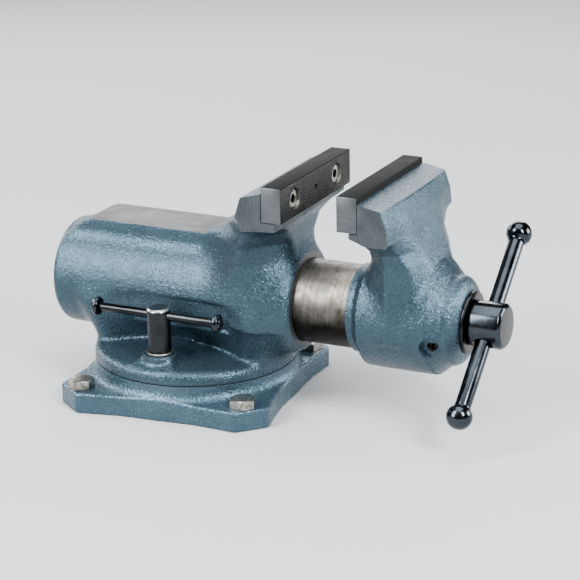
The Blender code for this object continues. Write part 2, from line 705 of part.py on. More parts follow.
def make_handle(dark_steel):
    seat = HANDLE_HALF - KNOB_SEAT
    start = handle_frame(-seat + GAP).translation
    end = handle_frame(seat - GAP).translation
    bar = straight_bar("handle_bar", HANDLE_R, start, end)
    keep(bar, dark_steel)
    set_origin(bar, (HANDLE_X, 0.0, SCREW_Z))
    arc = [math.radians(90.0 - 15.0 * step) for step in range(10)]
    ball_profile = [(KNOB_R * math.cos(angle), KNOB_R * math.sin(angle)) for angle in arc[1:]]
    neck = math.sqrt(KNOB_R ** 2 - KNOB_SEAT ** 2)
    profile = [(0.0, KNOB_R)] + [point for point in ball_profile if point[1] > -KNOB_SEAT]
    profile += [(neck, -KNOB_SEAT), (0.0, -KNOB_SEAT)]
    flip = Matrix.Rotation(math.pi, 4, "X")
    for name, frame in (("handle_knob_upper", handle_frame(HANDLE_HALF)),
                        ("handle_knob_lower", handle_frame(-HANDLE_HALF) @ flip)):
        keep(turned(name, profile, SMALL, frame=frame), dark_steel)


# ---------------------------------------------------------------- jaw inserts

def insert_screw_hole(name, face_x, into, side):
    """Tapped hole in a casting behind the insert; into is -1 or +1 along X."""
    y = side * INSERT_SCREW_Y
    z = INSERT_TOP_Z - INSERT_HEIGHT / 2
    start = face_x + into * (INSERT_THICKNESS - 2.0 * MM)
    end = face_x + into * (INSERT_SCREW_DEPTH + 1.0 * MM)
    return rod(name, INSERT_SCREW_SHANK_R + GAP, (start, y, z), (end, y, z), TINY)


def make_insert(name, face_x, into, steel):
    """A hardened jaw plate whose working face is at face_x."""
    back = face_x + into * INSERT_THICKNESS
    plate = box(name, (min(face_x, back), -JAW_WIDTH / 2, INSERT_TOP_Z - INSERT_HEIGHT),
                (max(face_x, back), JAW_WIDTH / 2, INSERT_TOP_Z))
    round_edges(plate, 0.5 * MM, 1)
    z = INSERT_TOP_Z - INSERT_HEIGHT / 2
    sink = INSERT_SCREW_SINK + INSERT_SCREW_HEAD_T + GAP
    for side in (-1, 1):
        y = side * INSERT_SCREW_Y
        outside = face_x - into * 5.0 * MM
        cut(plate, rod("%s_counterbore_%d" % (name, side), INSERT_SCREW_HEAD_R + 0.6 * MM,
                       (outside, y, z), (face_x + into * sink, y, z), SMALL))
        cut(plate, rod("%s_through_%d" % (name, side), INSERT_SCREW_SHANK_R + GAP,
                       (outside, y, z), (face_x + into * 20.0 * MM, y, z), TINY))
    cut(plate, rod(name + "_centre_hole", 1.6 * MM, (face_x - into * 5.0 * MM, 0.0, z),
                   (face_x + into * 5.0 * MM, 0.0, z), TINY))
    return keep(plate, steel)


def make_insert_screws(name, face_x, into, zinc):
    top = face_x + into * INSERT_SCREW_SINK
    shoulder = top + into * INSERT_SCREW_HEAD_T
    screw = rod("screw_head", INSERT_SCREW_HEAD_R, (top, 0.0, 0.0), (shoulder, 0.0, 0.0), SMALL)
    join(screw, rod("screw_shank", INSERT_SCREW_SHANK_R, (shoulder - into * MM, 0.0, 0.0),
                    (face_x + into * INSERT_SCREW_DEPTH, 0.0, 0.0), TINY))
    cut(screw, rod("screw_socket", 3.2 * MM,
                   (top - into * MM, 0.0, 0.0), (top + into * 3.0 * MM, 0.0, 0.0), 6))
    z = INSERT_TOP_Z - INSERT_HEIGHT / 2
    places = [Matrix.Translation((0.0, side * INSERT_SCREW_Y, z)) for side in (-1, 1)]
    keep_copies(name, final_mesh(screw), places, zinc)


# ---------------------------------------------------------------- swivel lock

def make_lock(dark_steel, steel):
    low, high = LOCK_CAVITY_Z
    head_top = high - GAP
    bolt = rod("lock_bolt", LOCK_STUD_R, (0.0, LOCK_Y, head_top - MM), (0.0, LOCK_Y, 56.0 * MM), TINY)
    head = box("lock_bolt_head", (-LOCK_HEAD_HALF, LOCK_Y - LOCK_HEAD_HALF, head_top - 7.0 * MM),
               (LOCK_HEAD_HALF, LOCK_Y + LOCK_HEAD_HALF, head_top))
    join(bolt, head)
    keep(bolt, steel)
    washer_top = LOCK_BOSS_Z + GAP + 1.4 * MM
    washer = turned("lock_washer", [(LOCK_WASHER_R, washer_top), (LOCK_WASHER_R, LOCK_BOSS_Z + GAP),
                                    (LOCK_STUD_R + 0.4 * MM, LOCK_BOSS_Z + GAP),
                                    (LOCK_STUD_R + 0.4 * MM, washer_top)], SMALL, closed=True,
                    frame=Matrix.Translation((0.0, LOCK_Y, 0.0)))
    keep(washer, steel)
    nut = turned("lock_nut", [(0.0, LOCK_NUT_TOP_Z), (LOCK_NUT_R - 1.5 * MM, LOCK_NUT_TOP_Z),
                              (LOCK_NUT_R, LOCK_NUT_TOP_Z - 1.2 * MM), (LOCK_NUT_R, washer_top + GAP),
                              (LOCK_STUD_R + 0.4 * MM, washer_top + GAP), (LOCK_STUD_R + 0.4 * MM, 57.0 * MM),
                              (0.0, 57.0 * MM)], SMALL, frame=Matrix.Translation((0.0, LOCK_Y, 0.0)))
    cut(nut, rod("lock_bar_hole", LOCK_BAR_R + GAP,
                 (-0.02, LOCK_Y, LOCK_BAR_Z), (0.02, LOCK_Y, LOCK_BAR_Z), TINY))
    keep(nut, dark_steel)
    ends = (LOCK_BAR_CENTRE_X - LOCK_BAR_HALF, LOCK_BAR_CENTRE_X + LOCK_BAR_HALF)
    bar = straight_bar("lock_bar", LOCK_BAR_R, (ends[0], LOCK_Y, LOCK_BAR_Z), (ends[1], LOCK_Y, LOCK_BAR_Z))
    keep(bar, dark_steel)
    set_origin(bar, (0.0, LOCK_Y, LOCK_BAR_Z))
    cap = [(0.0, LOCK_CAP_T), (LOCK_CAP_R * 0.55, LOCK_CAP_T * 0.92), (LOCK_CAP_R * 0.88, LOCK_CAP_T * 0.68),
           (LOCK_CAP_R, LOCK_CAP_T * 0.36), (LOCK_CAP_R * 0.9, LOCK_CAP_T * 0.1),
           (LOCK_CAP_R * 0.7, 0.0), (0.0, 0.0)]
    right = Matrix.Translation((ends[1] + GAP, LOCK_Y, LOCK_BAR_Z)) @ ALONG_X
    left = Matrix.Translation((ends[0] - GAP, LOCK_Y, LOCK_BAR_Z)) @ ALONG_X.inverted()
    keep(turned("lock_bar_cap_right", cap, TINY, frame=right), dark_steel)
    keep(turned("lock_bar_cap_left", cap, TINY, frame=left), dark_steel)


def main():
    clear_scene()
    new_collection(PART_COLLECTION)
    new_collection(CUTTER_COLLECTION)
    paint = make_material("hammered_blue_paint", (0.13, 0.2, 0.26), 0.3, 0.4)
    bright = make_material("bright_steel", (0.55, 0.52, 0.48), 1.0, 0.3)
    ground = make_material("ground_steel", (0.3, 0.31, 0.32), 1.0, 0.4)
    dark = make_material("dark_steel", (0.08, 0.085, 0.09), 1.0, 0.25)
    zinc = make_material("zinc_steel", (0.7, 0.69, 0.64), 1.0, 0.25)
    make_base(paint)
    make_hold_down_bolts(zinc)
    make_pivot(bright)
    make_vise_body(paint)
    make_front_jaw(paint)
    make_slide_bar(bright)
    make_spindle(dark)
    make_nut(bright)
    make_thrust_parts(dark, bright)
    make_slide_key(bright)
    make_handle(dark)
    make_insert("rear_jaw_insert", REAR_FACE_X, -1, ground)
    make_insert("front_jaw_insert", REAR_FACE_X + JAW_OPENING, 1, ground)
    make_insert_screws("rear_insert_screw", REAR_FACE_X, -1, zinc)
    make_insert_screws("front_insert_screw", REAR_FACE_X + JAW_OPENING, 1, zinc)
    make_lock(dark, bright)


main()
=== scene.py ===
"""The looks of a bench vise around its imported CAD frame.

Cast bodies are made as distance fields in millimetres, blended as a casting is,
meshed, and then machined with exact cutters. Everything else is turned or bevelled.
"""
import math

import bmesh
import bpy
import numpy as np
from mathutils import Matrix, Vector


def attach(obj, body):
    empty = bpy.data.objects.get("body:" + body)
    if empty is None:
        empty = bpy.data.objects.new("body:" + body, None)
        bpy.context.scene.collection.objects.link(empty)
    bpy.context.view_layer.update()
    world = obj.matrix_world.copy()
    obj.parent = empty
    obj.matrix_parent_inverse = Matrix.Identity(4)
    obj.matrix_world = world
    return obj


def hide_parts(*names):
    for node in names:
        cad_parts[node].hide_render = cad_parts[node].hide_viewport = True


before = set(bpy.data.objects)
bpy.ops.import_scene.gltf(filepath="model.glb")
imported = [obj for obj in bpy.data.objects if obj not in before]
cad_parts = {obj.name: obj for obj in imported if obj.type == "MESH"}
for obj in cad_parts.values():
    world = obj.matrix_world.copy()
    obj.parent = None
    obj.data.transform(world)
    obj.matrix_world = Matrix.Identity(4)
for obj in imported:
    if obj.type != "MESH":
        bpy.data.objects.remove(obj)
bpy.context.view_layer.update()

MM = 0.001

# Driving places and sizes of the frame, in millimetres: X along the screw, the swivel axis at X = Y = 0
SCREW_Z = 69.6
BARREL_R = 35.2
SLIDE_BAR_R = 26.6
BORE_R = 26.9
JAW_HALF_W = 50.8
SEAT_Z = 133.5
LEDGE_Z = 112.0
REAR_FACE_X = 88.5
FRONT_FACE_X = 125.3
REAR_SEAT_X = 74.9
FRONT_SEAT_X = 138.9
INSERT_Z = 144.9
INSERT_SCREW_YS = (-30.3, 30.3)
INSERT_HOLE_R = 4.2
LOCK_Y = -48.8
LOCK_BAR_Z = 63.6
BASE_TOP_Z = 23.5
DISC_R = 66.8
BOLT_SEAT_Z = 13.1
BOLT_HEAD_Z = 13.4
BASE_TURN = math.radians(5.7)

RETAINING_ANGLE = math.radians(195.0)
RETAINING_WAY = Vector((0.0, math.cos(RETAINING_ANGLE), math.sin(RETAINING_ANGLE)))
RETAINING_CENTRE = Vector((178.6, 0.0, SCREW_Z))
ALONG_X = Matrix.Rotation(math.radians(90.0), 4, "Y")
ON_SCREW = Matrix.Translation((0.0, 0.0, SCREW_Z * MM)) @ ALONG_X


# ---------------------------------------------------------------- distance fields, in millimetres

def union(a, b, soft):
    """Join two distance fields with a fillet about as wide as soft."""
    share = np.maximum(soft - np.abs(a - b), 0.0) / soft
    return np.minimum(a, b) - share * share * soft / 4


def common(a, b, soft):
    """Keep what two fields share, with a rounded edge."""
    return -union(-a, -b, soft)


def carve(a, b, soft):
    """Take b out of a, with a rounded edge."""
    return -union(-a, b, soft)


def polygon(u, v, points):
    """Signed distance from (u, v) to a closed outline."""
    nearest = None
    inside = False
    for (u0, v0), (u1, v1) in zip(points, points[1:] + points[:1]):
        du = u1 - u0
        dv = v1 - v0 if v1 != v0 else 1e-6
        share = np.clip(((u - u0) * du + (v - v0) * dv) / (du * du + dv * dv), 0.0, 1.0)
        away = (u - u0 - share * du) ** 2 + (v - v0 - share * dv) ** 2
        nearest = away if nearest is None else np.minimum(nearest, away)
        crosses = ((v0 > v) != (v1 > v)) & (u < u0 + du * (v - v0) / dv)
        inside = inside ^ crosses
    return np.where(inside, -1.0, 1.0) * np.sqrt(nearest)


def slab(value, low, high):
    """The layer between two values of one coordinate."""
    return np.maximum(low - value, value - high)


def column(x, y, z, sections, soft):
    """An upright column, alike on both sides, from convex sections (z, [(x, half width), ...])."""
    heights = [height for height, _ in sections]
    count = len(sections[0][1])
    side = np.abs(y)
    xs = [np.interp(z, heights, [line[i][0] for _, line in sections]) for i in range(count)]
    ws = [np.interp(z, heights, [line[i][1] for _, line in sections]) for i in range(count)]
    body = common(xs[0] - x, x - xs[-1], soft)
    for x0, w0, x1, w1 in zip(xs, ws, xs[1:], ws[1:]):
        length = np.hypot(x1 - x0, w1 - w0)
        face = ((side - w0) * (x1 - x0) - (x - x0) * (w1 - w0)) / length
        body = common(body, face, soft)
    return common(body, slab(z, heights[0], heights[-1]), 1.0)


def rounded_along(x, radius, line):
    """A round body whose radius follows line, a list of (x, radius)."""
    return radius - np.interp(x, [p[0] for p in line], [p[1] for p in line])


def smooth_line(points, steps=8):
    """Points of a curve that passes through the given ones."""
    out = []
    padded = [points[0]] + points + [points[-1]]
    for a, b, c, d in zip(padded, padded[1:], padded[2:], padded[3:]):
        for step in range(steps):
            t = step / steps
            out.append(tuple(0.5 * (2 * q + (r - p) * t + (2 * p - 5 * q + 4 * r - s) * t * t
                                    + (3 * q - p - 3 * r + s) * t ** 3)
                             for p, q, r, s in zip(a, b, c, d)))
    return out + [points[-1]]


# ---------------------------------------------------------------- meshing a field

SETTLE_ROUNDS = 3
SLOPE_REACH = 0.05
LEAST_STEEP = 0.2


def mesh_field(name, field, low, high, step):
    """A smooth closed mesh of the place where field(x, y, z) is below zero.

    One point stands in each grid cell that the surface crosses, and one quad
    crosses each grid edge that the surface cuts.
    """
    axes = [np.arange(a, b + step, step) for a, b in zip(low, high)]
    x, y, z = np.meshgrid(*axes, indexing="ij", sparse=True)
    values = np.ascontiguousarray(field(x, y, z), dtype=np.float32)
    inside = values < 0
    offsets = np.array([(i, j, k) for i in (0, 1) for j in (0, 1) for k in (0, 1)])
    count = np.zeros(tuple(n - 1 for n in values.shape), np.int8)
    for i, j, k in offsets:
        count += inside[i:i + count.shape[0], j:j + count.shape[1], k:k + count.shape[2]]
    cells = np.argwhere((count > 0) & (count < 8))
    number = np.full(count.shape, -1, np.int32)
    number[tuple(cells.T)] = np.arange(len(cells))
    corners = [values[tuple((cells + o).T)] for o in offsets]
    total = np.zeros((len(cells), 3))
    hits = np.zeros(len(cells))
    for a in range(8):
        for b in range(a + 1, 8):
            if np.abs(offsets[a] - offsets[b]).sum() != 1:
                continue
            crossed = (corners[a] < 0) != (corners[b] < 0)
            share = corners[a][crossed] / (corners[a][crossed] - corners[b][crossed])
            total[crossed] += offsets[a] + share[:, None] * (offsets[b] - offsets[a])
            hits[crossed] += 1
    points = np.array(low) + (cells + total / hits[:, None]) * step
    quads = []
    for axis in range(3):
        first, second = [a for a in range(3) if a != axis]
        here = [slice(None)] * 3
        after = [slice(None)] * 3
        here[axis] = slice(0, -1)
        after[axis] = slice(1, None)
        edges = np.argwhere(inside[tuple(here)] != inside[tuple(after)])
        edges = edges[(edges[:, first] > 0) & (edges[:, second] > 0)]
        back1 = np.eye(3, dtype=int)[first]
        back2 = np.eye(3, dtype=int)[second]
        around = [edges, edges - back1, edges - back1 - back2, edges - back2]
        faces = np.stack([number[tuple(c.T)] for c in around], axis=1)
        outward = inside[tuple(edges.T)] == (axis != 1)
        faces[~outward] = faces[~outward][:, ::-1]
        quads.append(faces)
    for _ in range(SETTLE_ROUNDS):
        points = settle(points, field, step)
    mesh = bpy.data.meshes.new(name)
    mesh.from_pydata((points * MM).tolist(), [], np.concatenate(quads).tolist())
    return new_object(name, mesh)


def settle(points, field, step):
    """Move points along the field's slope onto its surface."""
    x, y, z = points.T
    value = field(x, y, z)
    reach = SLOPE_REACH
    slope = np.stack([field(x + reach, y, z) - field(x - reach, y, z),
                      field(x, y + reach, z) - field(x, y - reach, z),
                      field(x, y, z + reach) - field(x, y, z - reach)], axis=1) / (2 * reach)
    steep = np.maximum((slope * slope).sum(axis=1), LEAST_STEEP)
    move = np.clip(value / steep, -step / 2, step / 2)
    return points - slope * move[:, None]


# ---------------------------------------------------------------- mesh helpers

CORNER_STEPS = 4
SHARP_ANGLE = math.radians(32.0)
BEVEL_ANGLE = math.radians(35.0)


def new_object(name, mesh):
    made = bpy.data.objects.new(name, mesh)
    bpy.context.scene.collection.objects.link(made)
    return made


def facing(way):
    """The turn that points local Z along a direction."""
    return way.to_track_quat("Z", "Y").to_matrix().to_4x4()


def mesh_object(name, build):
    """An object from build(shape), which fills an empty bmesh."""
    shape = bmesh.new()
    build(shape)
    bmesh.ops.recalc_face_normals(shape, faces=shape.faces)
    mesh = bpy.data.meshes.new(name)
    shape.to_mesh(mesh)
    shape.free()
    return new_object(name, mesh)


def turned(name, line, where, steps=96, ring=False):
    """Spin (radius, height) points in mm about the local Z axis; ring closes the outline on itself."""
    def build(shape):
        rings = []
        for radius, height in line:
            if radius < 1e-6:
                rings.append([shape.verts.new((0.0, 0.0, height * MM))])
                continue
            turn = [2 * math.pi * i / steps for i in range(steps)]
            rings.append([shape.verts.new((radius * MM * math.cos(a), radius * MM * math.sin(a),
                                           height * MM)) for a in turn])
        pairs = list(zip(rings, rings[1:]))
        if ring:
            pairs.append((rings[-1], rings[0]))
        for one, other in pairs:
            for i in range(steps):
                j = (i + 1) % steps
                corners = [one[i % len(one)], one[j % len(one)], other[j % len(other)], other[i % len(other)]]
                face = list(dict.fromkeys(corners))
                if len(face) > 2:
                    shape.faces.new(face)

    made = mesh_object(name, build)
    made.data.transform(where)
    return made


def softened(line, radius, closed=False):
    """An outline with each corner rounded by up to the given radius."""
    out = []
    count = len(line)
    for i, here in enumerate(line):
        if not closed and i in (0, count - 1):
            out.append(here)
            continue
        here = Vector(here)
        to_before = Vector(line[i - 1]) - here
        to_after = Vector(line[(i + 1) % count]) - here
        reach = min(radius, to_before.length * 0.45, to_after.length * 0.45)
        start = here + to_before.normalized() * reach
        end = here + to_after.normalized() * reach
        for step in range(CORNER_STEPS + 1):
            t = step / CORNER_STEPS
            out.append(tuple(start * (1 - t) ** 2 + here * 2 * t * (1 - t) + end * t * t))
    return out


def block(name, low, high, where=Matrix.Identity(4)):
    """A box between two corners, in mm, then placed by where."""
    low = Vector(low) * MM
    high = Vector(high) * MM
    size = Matrix.Diagonal((*(high - low), 1.0))

    def build(shape):
        middle = Matrix.Translation((low + high) / 2)
        bmesh.ops.create_cube(shape, size=1.0, matrix=where @ middle @ size)

    return mesh_object(name, build)


def bar(name, radius, start, end, steps=64):
    """A plain round cutter from start to end, in mm."""
    start = Vector(start) * MM
    end = Vector(end) * MM
    length = (end - start).length / MM
    return turned(name, [(0, 0), (radius, 0), (radius, length), (0, length)],
                  Matrix.Translation(start) @ facing(end - start), steps)


def apply_modifiers(item):
    """Turn a piece into what its modifiers make of it."""
    bpy.context.view_layer.update()
    evaluated = item.evaluated_get(bpy.context.evaluated_depsgraph_get())
    mesh = bpy.data.meshes.new_from_object(evaluated)
    item.modifiers.clear()
    item.data = mesh


def machine(item, cutters):
    """Cut a piece with several cutters at once; faces they leave take the cutter's material."""
    group = bpy.data.collections.new(item.name + "_cutters")
    for cutter in cutters:
        group.objects.link(cutter)
    step = item.modifiers.new("machined", "BOOLEAN")
    step.operation = "DIFFERENCE"
    step.operand_type = "COLLECTION"
    step.collection = group
    step.solver = "MANIFOLD"
    step.material_mode = "TRANSFER"
    apply_modifiers(item)
    for cutter in cutters:
        bpy.data.objects.remove(cutter, do_unlink=True)
    bpy.data.collections.remove(group)


def bevel(item, width):
    """Break the sharp edges of a piece; width in mm."""
    step = item.modifiers.new("bevel", "BEVEL")
    step.width = width * MM
    step.segments = 2
    step.limit_method = "ANGLE"
    step.angle_limit = BEVEL_ANGLE
    apply_modifiers(item)


def paint(item, material):
    """Give a piece the material, in a new slot if it has others."""
    if material.name not in item.data.materials:
        item.data.materials.append(material)
    return item


def repaint(item, material, chosen):
    """Give another material to the faces that chosen(face) picks."""
    paint(item, material)
    index = item.data.materials.find(material.name)
    for face in item.data.polygons:
        if chosen(face):
            face.material_index = index


def finished(item, body, node):
    """Shade a piece, set it on its body and let it stand for a CAD node."""
    item.data.shade_smooth()
    item.data.set_sharp_from_angle(angle=SHARP_ANGLE)
    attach(item, body)
    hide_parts(node)
    return item


# ---------------------------------------------------------------- materials

def add_node(tree, kind, **inputs):
    """A new node with values on its own sockets."""
    made = tree.nodes.new(kind)
    for key, value in inputs.items():
        made.inputs[key].default_value = value
    return made


def object_points(tree, stretch=(1.0, 1.0, 1.0)):
    """Object coordinates in metres, stretched along the axes."""
    place = tree.nodes.new("ShaderNodeTexCoord")
    mapping = add_node(tree, "ShaderNodeMapping", Scale=stretch)
    tree.links.new(place.outputs["Object"], mapping.inputs["Vector"])
    return mapping.outputs["Vector"]


def noise(tree, points, scale, detail=3.0, rough=0.55, distortion=0.0):
    """Noise over the points; scale is in cells per metre."""
    made = add_node(tree, "ShaderNodeTexNoise", Scale=scale, Detail=detail, Roughness=rough,
                    Distortion=distortion)
    tree.links.new(points, made.inputs["Vector"])
    return made.outputs["Fac"]


def ramp(tree, factor, stops):
    """Map a factor to colours; stops are (position, colour)."""
    made = tree.nodes.new("ShaderNodeValToRGB")
    for i, (position, colour) in enumerate(stops):
        if i >= len(made.color_ramp.elements):
            made.color_ramp.elements.new(position)
        made.color_ramp.elements[i].position = position
        made.color_ramp.elements[i].color = (*colour, 1.0)
    tree.links.new(factor, made.inputs["Fac"])
    return made.outputs["Color"]


def grey(value):
    return (value, value, value)


def mixed(tree, one, other, share):
    """Blend two heights or tones; share is the other one's part."""
    made = add_node(tree, "ShaderNodeMix", Factor=share)
    tree.links.new(one, made.inputs["A"])
    tree.links.new(other, made.inputs["B"])
    return made.outputs["Result"]


def bumped(tree, shader, heights, strength, distance):
    """Join bumps to the shader in a chain."""
    before = None
    for height in heights:
        made = add_node(tree, "ShaderNodeBump", Strength=strength, Distance=distance)
        tree.links.new(height, made.inputs["Height"])
        if before is not None:
            tree.links.new(before, made.inputs["Normal"])
        before = made.outputs["Normal"]
    tree.links.new(before, shader.inputs["Normal"])


def start_material(name, metallic, **inputs):
    """A material with plain values on its shader; its colour and bumps come later."""
    made = bpy.data.materials.new(name)
    made.use_nodes = True
    shader = made.node_tree.nodes["Principled BSDF"]
    shader.inputs["Metallic"].default_value = metallic
    for key, value in inputs.items():
        shader.inputs[key].default_value = value
    return made, made.node_tree, shader


ENAMEL_TONES = [(0.36, (0.025, 0.048, 0.065)), (0.5, (0.034, 0.062, 0.083)), (0.64, (0.045, 0.077, 0.101))]
PEBBLE_SCALE = 1000.0
GRAIN_SCALE = 480.0
CAST_SCALE = 45.0
FINE_SCALE = 1500.0
SMUDGE_SCALE = 90.0
SHADE_NOISE_SCALE = 35.0


def hammered_enamel(name, lift=1.0):
    """Blue-grey hammered enamel, pebbled and glossy over metal flake; lift brightens its colour, which paints
    in extra light.
    """
    made, tree, shader = start_material(name, 0.76, IOR=1.45)
    points = object_points(tree)
    pebbles = noise(tree, points, PEBBLE_SCALE, 1.5, 0.5)
    grains = noise(tree, points, GRAIN_SCALE, 2.0, 0.5)
    cast = noise(tree, points, CAST_SCALE, 3.0, 0.5)
    tone = mixed(tree, pebbles, cast, 0.35)
    stops = [(place, tuple(lift * part for part in tint)) for place, tint in ENAMEL_TONES]
    tree.links.new(ramp(tree, tone, stops), shader.inputs["Base Color"])
    gloss = ramp(tree, grains, [(0.3, grey(0.36)), (0.7, grey(0.24))])
    tree.links.new(gloss, shader.inputs["Roughness"])
    bumped(tree, shader, [pebbles, grains], 1.0, 0.00045)
    return made


def bare_steel(name, dark, light, roughness, stretch, patch=40.0):
    """Machined steel with fine tool lines across the stretched axis and slow tone changes."""
    made, tree, shader = start_material(name, 1.0)
    lines = noise(tree, object_points(tree, stretch), 1.0, 4.0, 0.65)
    patches = noise(tree, object_points(tree), patch, 4.0, 0.6, 0.4)
    tone = mixed(tree, lines, patches, 0.5)
    middle = tuple((a + b) / 2 for a, b in zip(dark, light))
    colour = ramp(tree, tone, [(0.36, dark), (0.5, middle), (0.64, light)])
    tree.links.new(colour, shader.inputs["Base Color"])
    gloss = ramp(tree, tone, [(0.36, grey(roughness + 0.1)), (0.64, grey(roughness - 0.07))])
    tree.links.new(gloss, shader.inputs["Roughness"])
    bumped(tree, shader, [lines], 0.12, 0.0002)
    return made


def shade_underside(material, low, high, dark):
    """Darken a material towards its underside as painted shade, with some noise in it; heights in metres."""
    tree = material.node_tree
    shader = tree.nodes["Principled BSDF"]
    colour = shader.inputs["Base Color"].links[0].from_socket
    points = object_points(tree)
    split = tree.nodes.new("ShaderNodeSeparateXYZ")
    tree.links.new(points, split.inputs["Vector"])
    height = add_node(tree, "ShaderNodeMapRange")
    height.inputs["From Min"].default_value = low
    height.inputs["From Max"].default_value = high
    tree.links.new(split.outputs["Z"], height.inputs["Value"])
    uneven = mixed(tree, height.outputs["Result"], noise(tree, points, SHADE_NOISE_SCALE, 3.0), 0.3)
    painted_shade = ramp(tree, uneven, [(0.28, grey(dark)), (0.72, grey(1.0))])
    blend = tree.nodes.new("ShaderNodeMix")
    blend.data_type = "RGBA"
    blend.blend_type = "MULTIPLY"
    blend.inputs["Factor"].default_value = 1.0
    tree.links.new(colour, blend.inputs[6])
    tree.links.new(painted_shade, blend.inputs[7])
    tree.links.new(blend.outputs[2], shader.inputs["Base Color"])
    return material


def dark_steel(name, colour, roughness, metallic=1.0, **inputs):
    """Black oxide or dark polish with faint handling marks."""
    made, tree, shader = start_material(name, metallic, **inputs)
    points = object_points(tree)
    marks = noise(tree, points, SMUDGE_SCALE, 5.0, 0.6, 0.3)
    fine = noise(tree, points, FINE_SCALE, 2.0, 0.5)
    light = tuple(c * 1.7 for c in colour)
    tree.links.new(ramp(tree, marks, [(0.35, colour), (0.7, light)]), shader.inputs["Base Color"])
    gloss = ramp(tree, marks, [(0.3, grey(roughness - 0.04)), (0.75, grey(roughness + 0.1))])
    tree.links.new(gloss, shader.inputs["Roughness"])
    bumped(tree, shader, [fine], 0.06, 0.0002)
    return made


ENAMEL = hammered_enamel("hammered_enamel")
# The base casting has the same enamel 1.45 times lighter: painted bounce light from the floor.
BOUNCE_LIT_ENAMEL = hammered_enamel("hammered_enamel_bounce_lit", 1.45)
MILLED = bare_steel("milled_iron", (0.055, 0.053, 0.054), (0.115, 0.112, 0.116), 0.5,
                    (60.0, 1500.0, 60.0))
JAW_SIDE = bare_steel("jaw_side_iron", (0.04, 0.048, 0.052), (0.088, 0.099, 0.104), 0.42,
                      (1200.0, 60.0, 120.0))
BORED = dark_steel("bored_iron", (0.03, 0.028, 0.027), 0.5)
# The turned steel is darkened towards its underside: painted shade.
TURNED = shade_underside(bare_steel("turned_steel", (0.06, 0.052, 0.042), (0.27, 0.25, 0.222), 0.42,
                          (2600.0, 20.0, 20.0), patch=120.0), 0.056, 0.090, 0.05)
GROUND = dark_steel("ground_insert", (0.005, 0.005, 0.005), 0.65, 0.0, IOR=1.12)
INSERT_END = bare_steel("insert_end", (0.06, 0.064, 0.068), (0.125, 0.133, 0.14), 0.4,
                        (60.0, 60.0, 1600.0))
GROOVE = bare_steel("insert_groove", (0.2, 0.195, 0.19), (0.5, 0.485, 0.47), 0.28, (60.0, 900.0, 60.0))
POLISHED = dark_steel("polished_dark_steel", (0.026, 0.031, 0.036), 0.15)
BLACK = dark_steel("black_oxide", (0.014, 0.015, 0.016), 0.17)
POST = dark_steel("blackened_post", (0.017, 0.019, 0.021), 0.3)
PALE_RIM = bare_steel("pale_rim_steel", (0.22, 0.215, 0.21), (0.42, 0.41, 0.40), 0.3,
                  (300.0, 300.0, 300.0), patch=180.0)
ZINC = bare_steel("zinc_plate", (0.07, 0.063, 0.05), (0.5, 0.48, 0.43), 0.32,
                  (300.0, 300.0, 300.0), patch=320.0)


# ---------------------------------------------------------------- rear casting

# Barrel: (x, radius). Anvil and head: (x, z). Columns: (z, [(x, half width), ...]).
# Cutters reach past the part by uneven amounts, so that no two of them share a face.
BARREL = smooth_line([(-89.0, BARREL_R), (15.0, BARREL_R), (34.0, 36.3), (48.0, 37.2), (62.0, 36.9),
                      (72.0, 35.7), (78.0, 34.0), (81.5, 31.8), (83.4, 29.6), (88.0, 28.6)])
ANVIL = [(-63.0, 112.6), (-71.0, 109.2), (-77.0, 104.6), (-81.5, 98.5), (-84.0, 86.0), (30.0, 86.0),
         (30.0, 112.6)]
REAR_COLUMN = [
    (60.0, [(18, 24), (32, 34.0), (48, 35.5), (64, 34.5), (78, 26)]),
    (85.0, [(19, 20), (35, 33), (49, 38.5), (63, 34.5), (79.5, 19)]),
    (92.0, [(20, 18.5), (36.5, 33), (50.5, 40), (63.5, 34), (79.5, 17)]),
    (100.0, [(21, 17.5), (38, 33), (52, 41.5), (64, 33.5), (79, 16)]),
    (112.0, [(24, 17.5), (42, 34), (56, 45), (66, 34.5), (79, 18)]),
    (121.0, [(36, 20), (50, 38), (59, 48.5), (69, 41.5), (79, 26)]),
    (129.5, [(47, 30), (54, 45), (60.5, 50.9), (75, 50.2), (83, 45)]),
]
REAR_BLOCK = [(57.0, 135.7), (61.0, 147.9), (76.0, 152.1), (90.0, 152.1), (90.0, 128.8), (82.4, 128.3),
              (60.9, 126.9)]
ROUGH_HALF_W = 52.5


def insert_screw_cuts(start_x, end_x):
    """The two holes that an insert's cap screws go into."""
    return [paint(bar("insert_screw_cut", INSERT_HOLE_R, (start_x, y, INSERT_Z),
                      (end_x, y, INSERT_Z), 32), BORED) for y in INSERT_SCREW_YS]


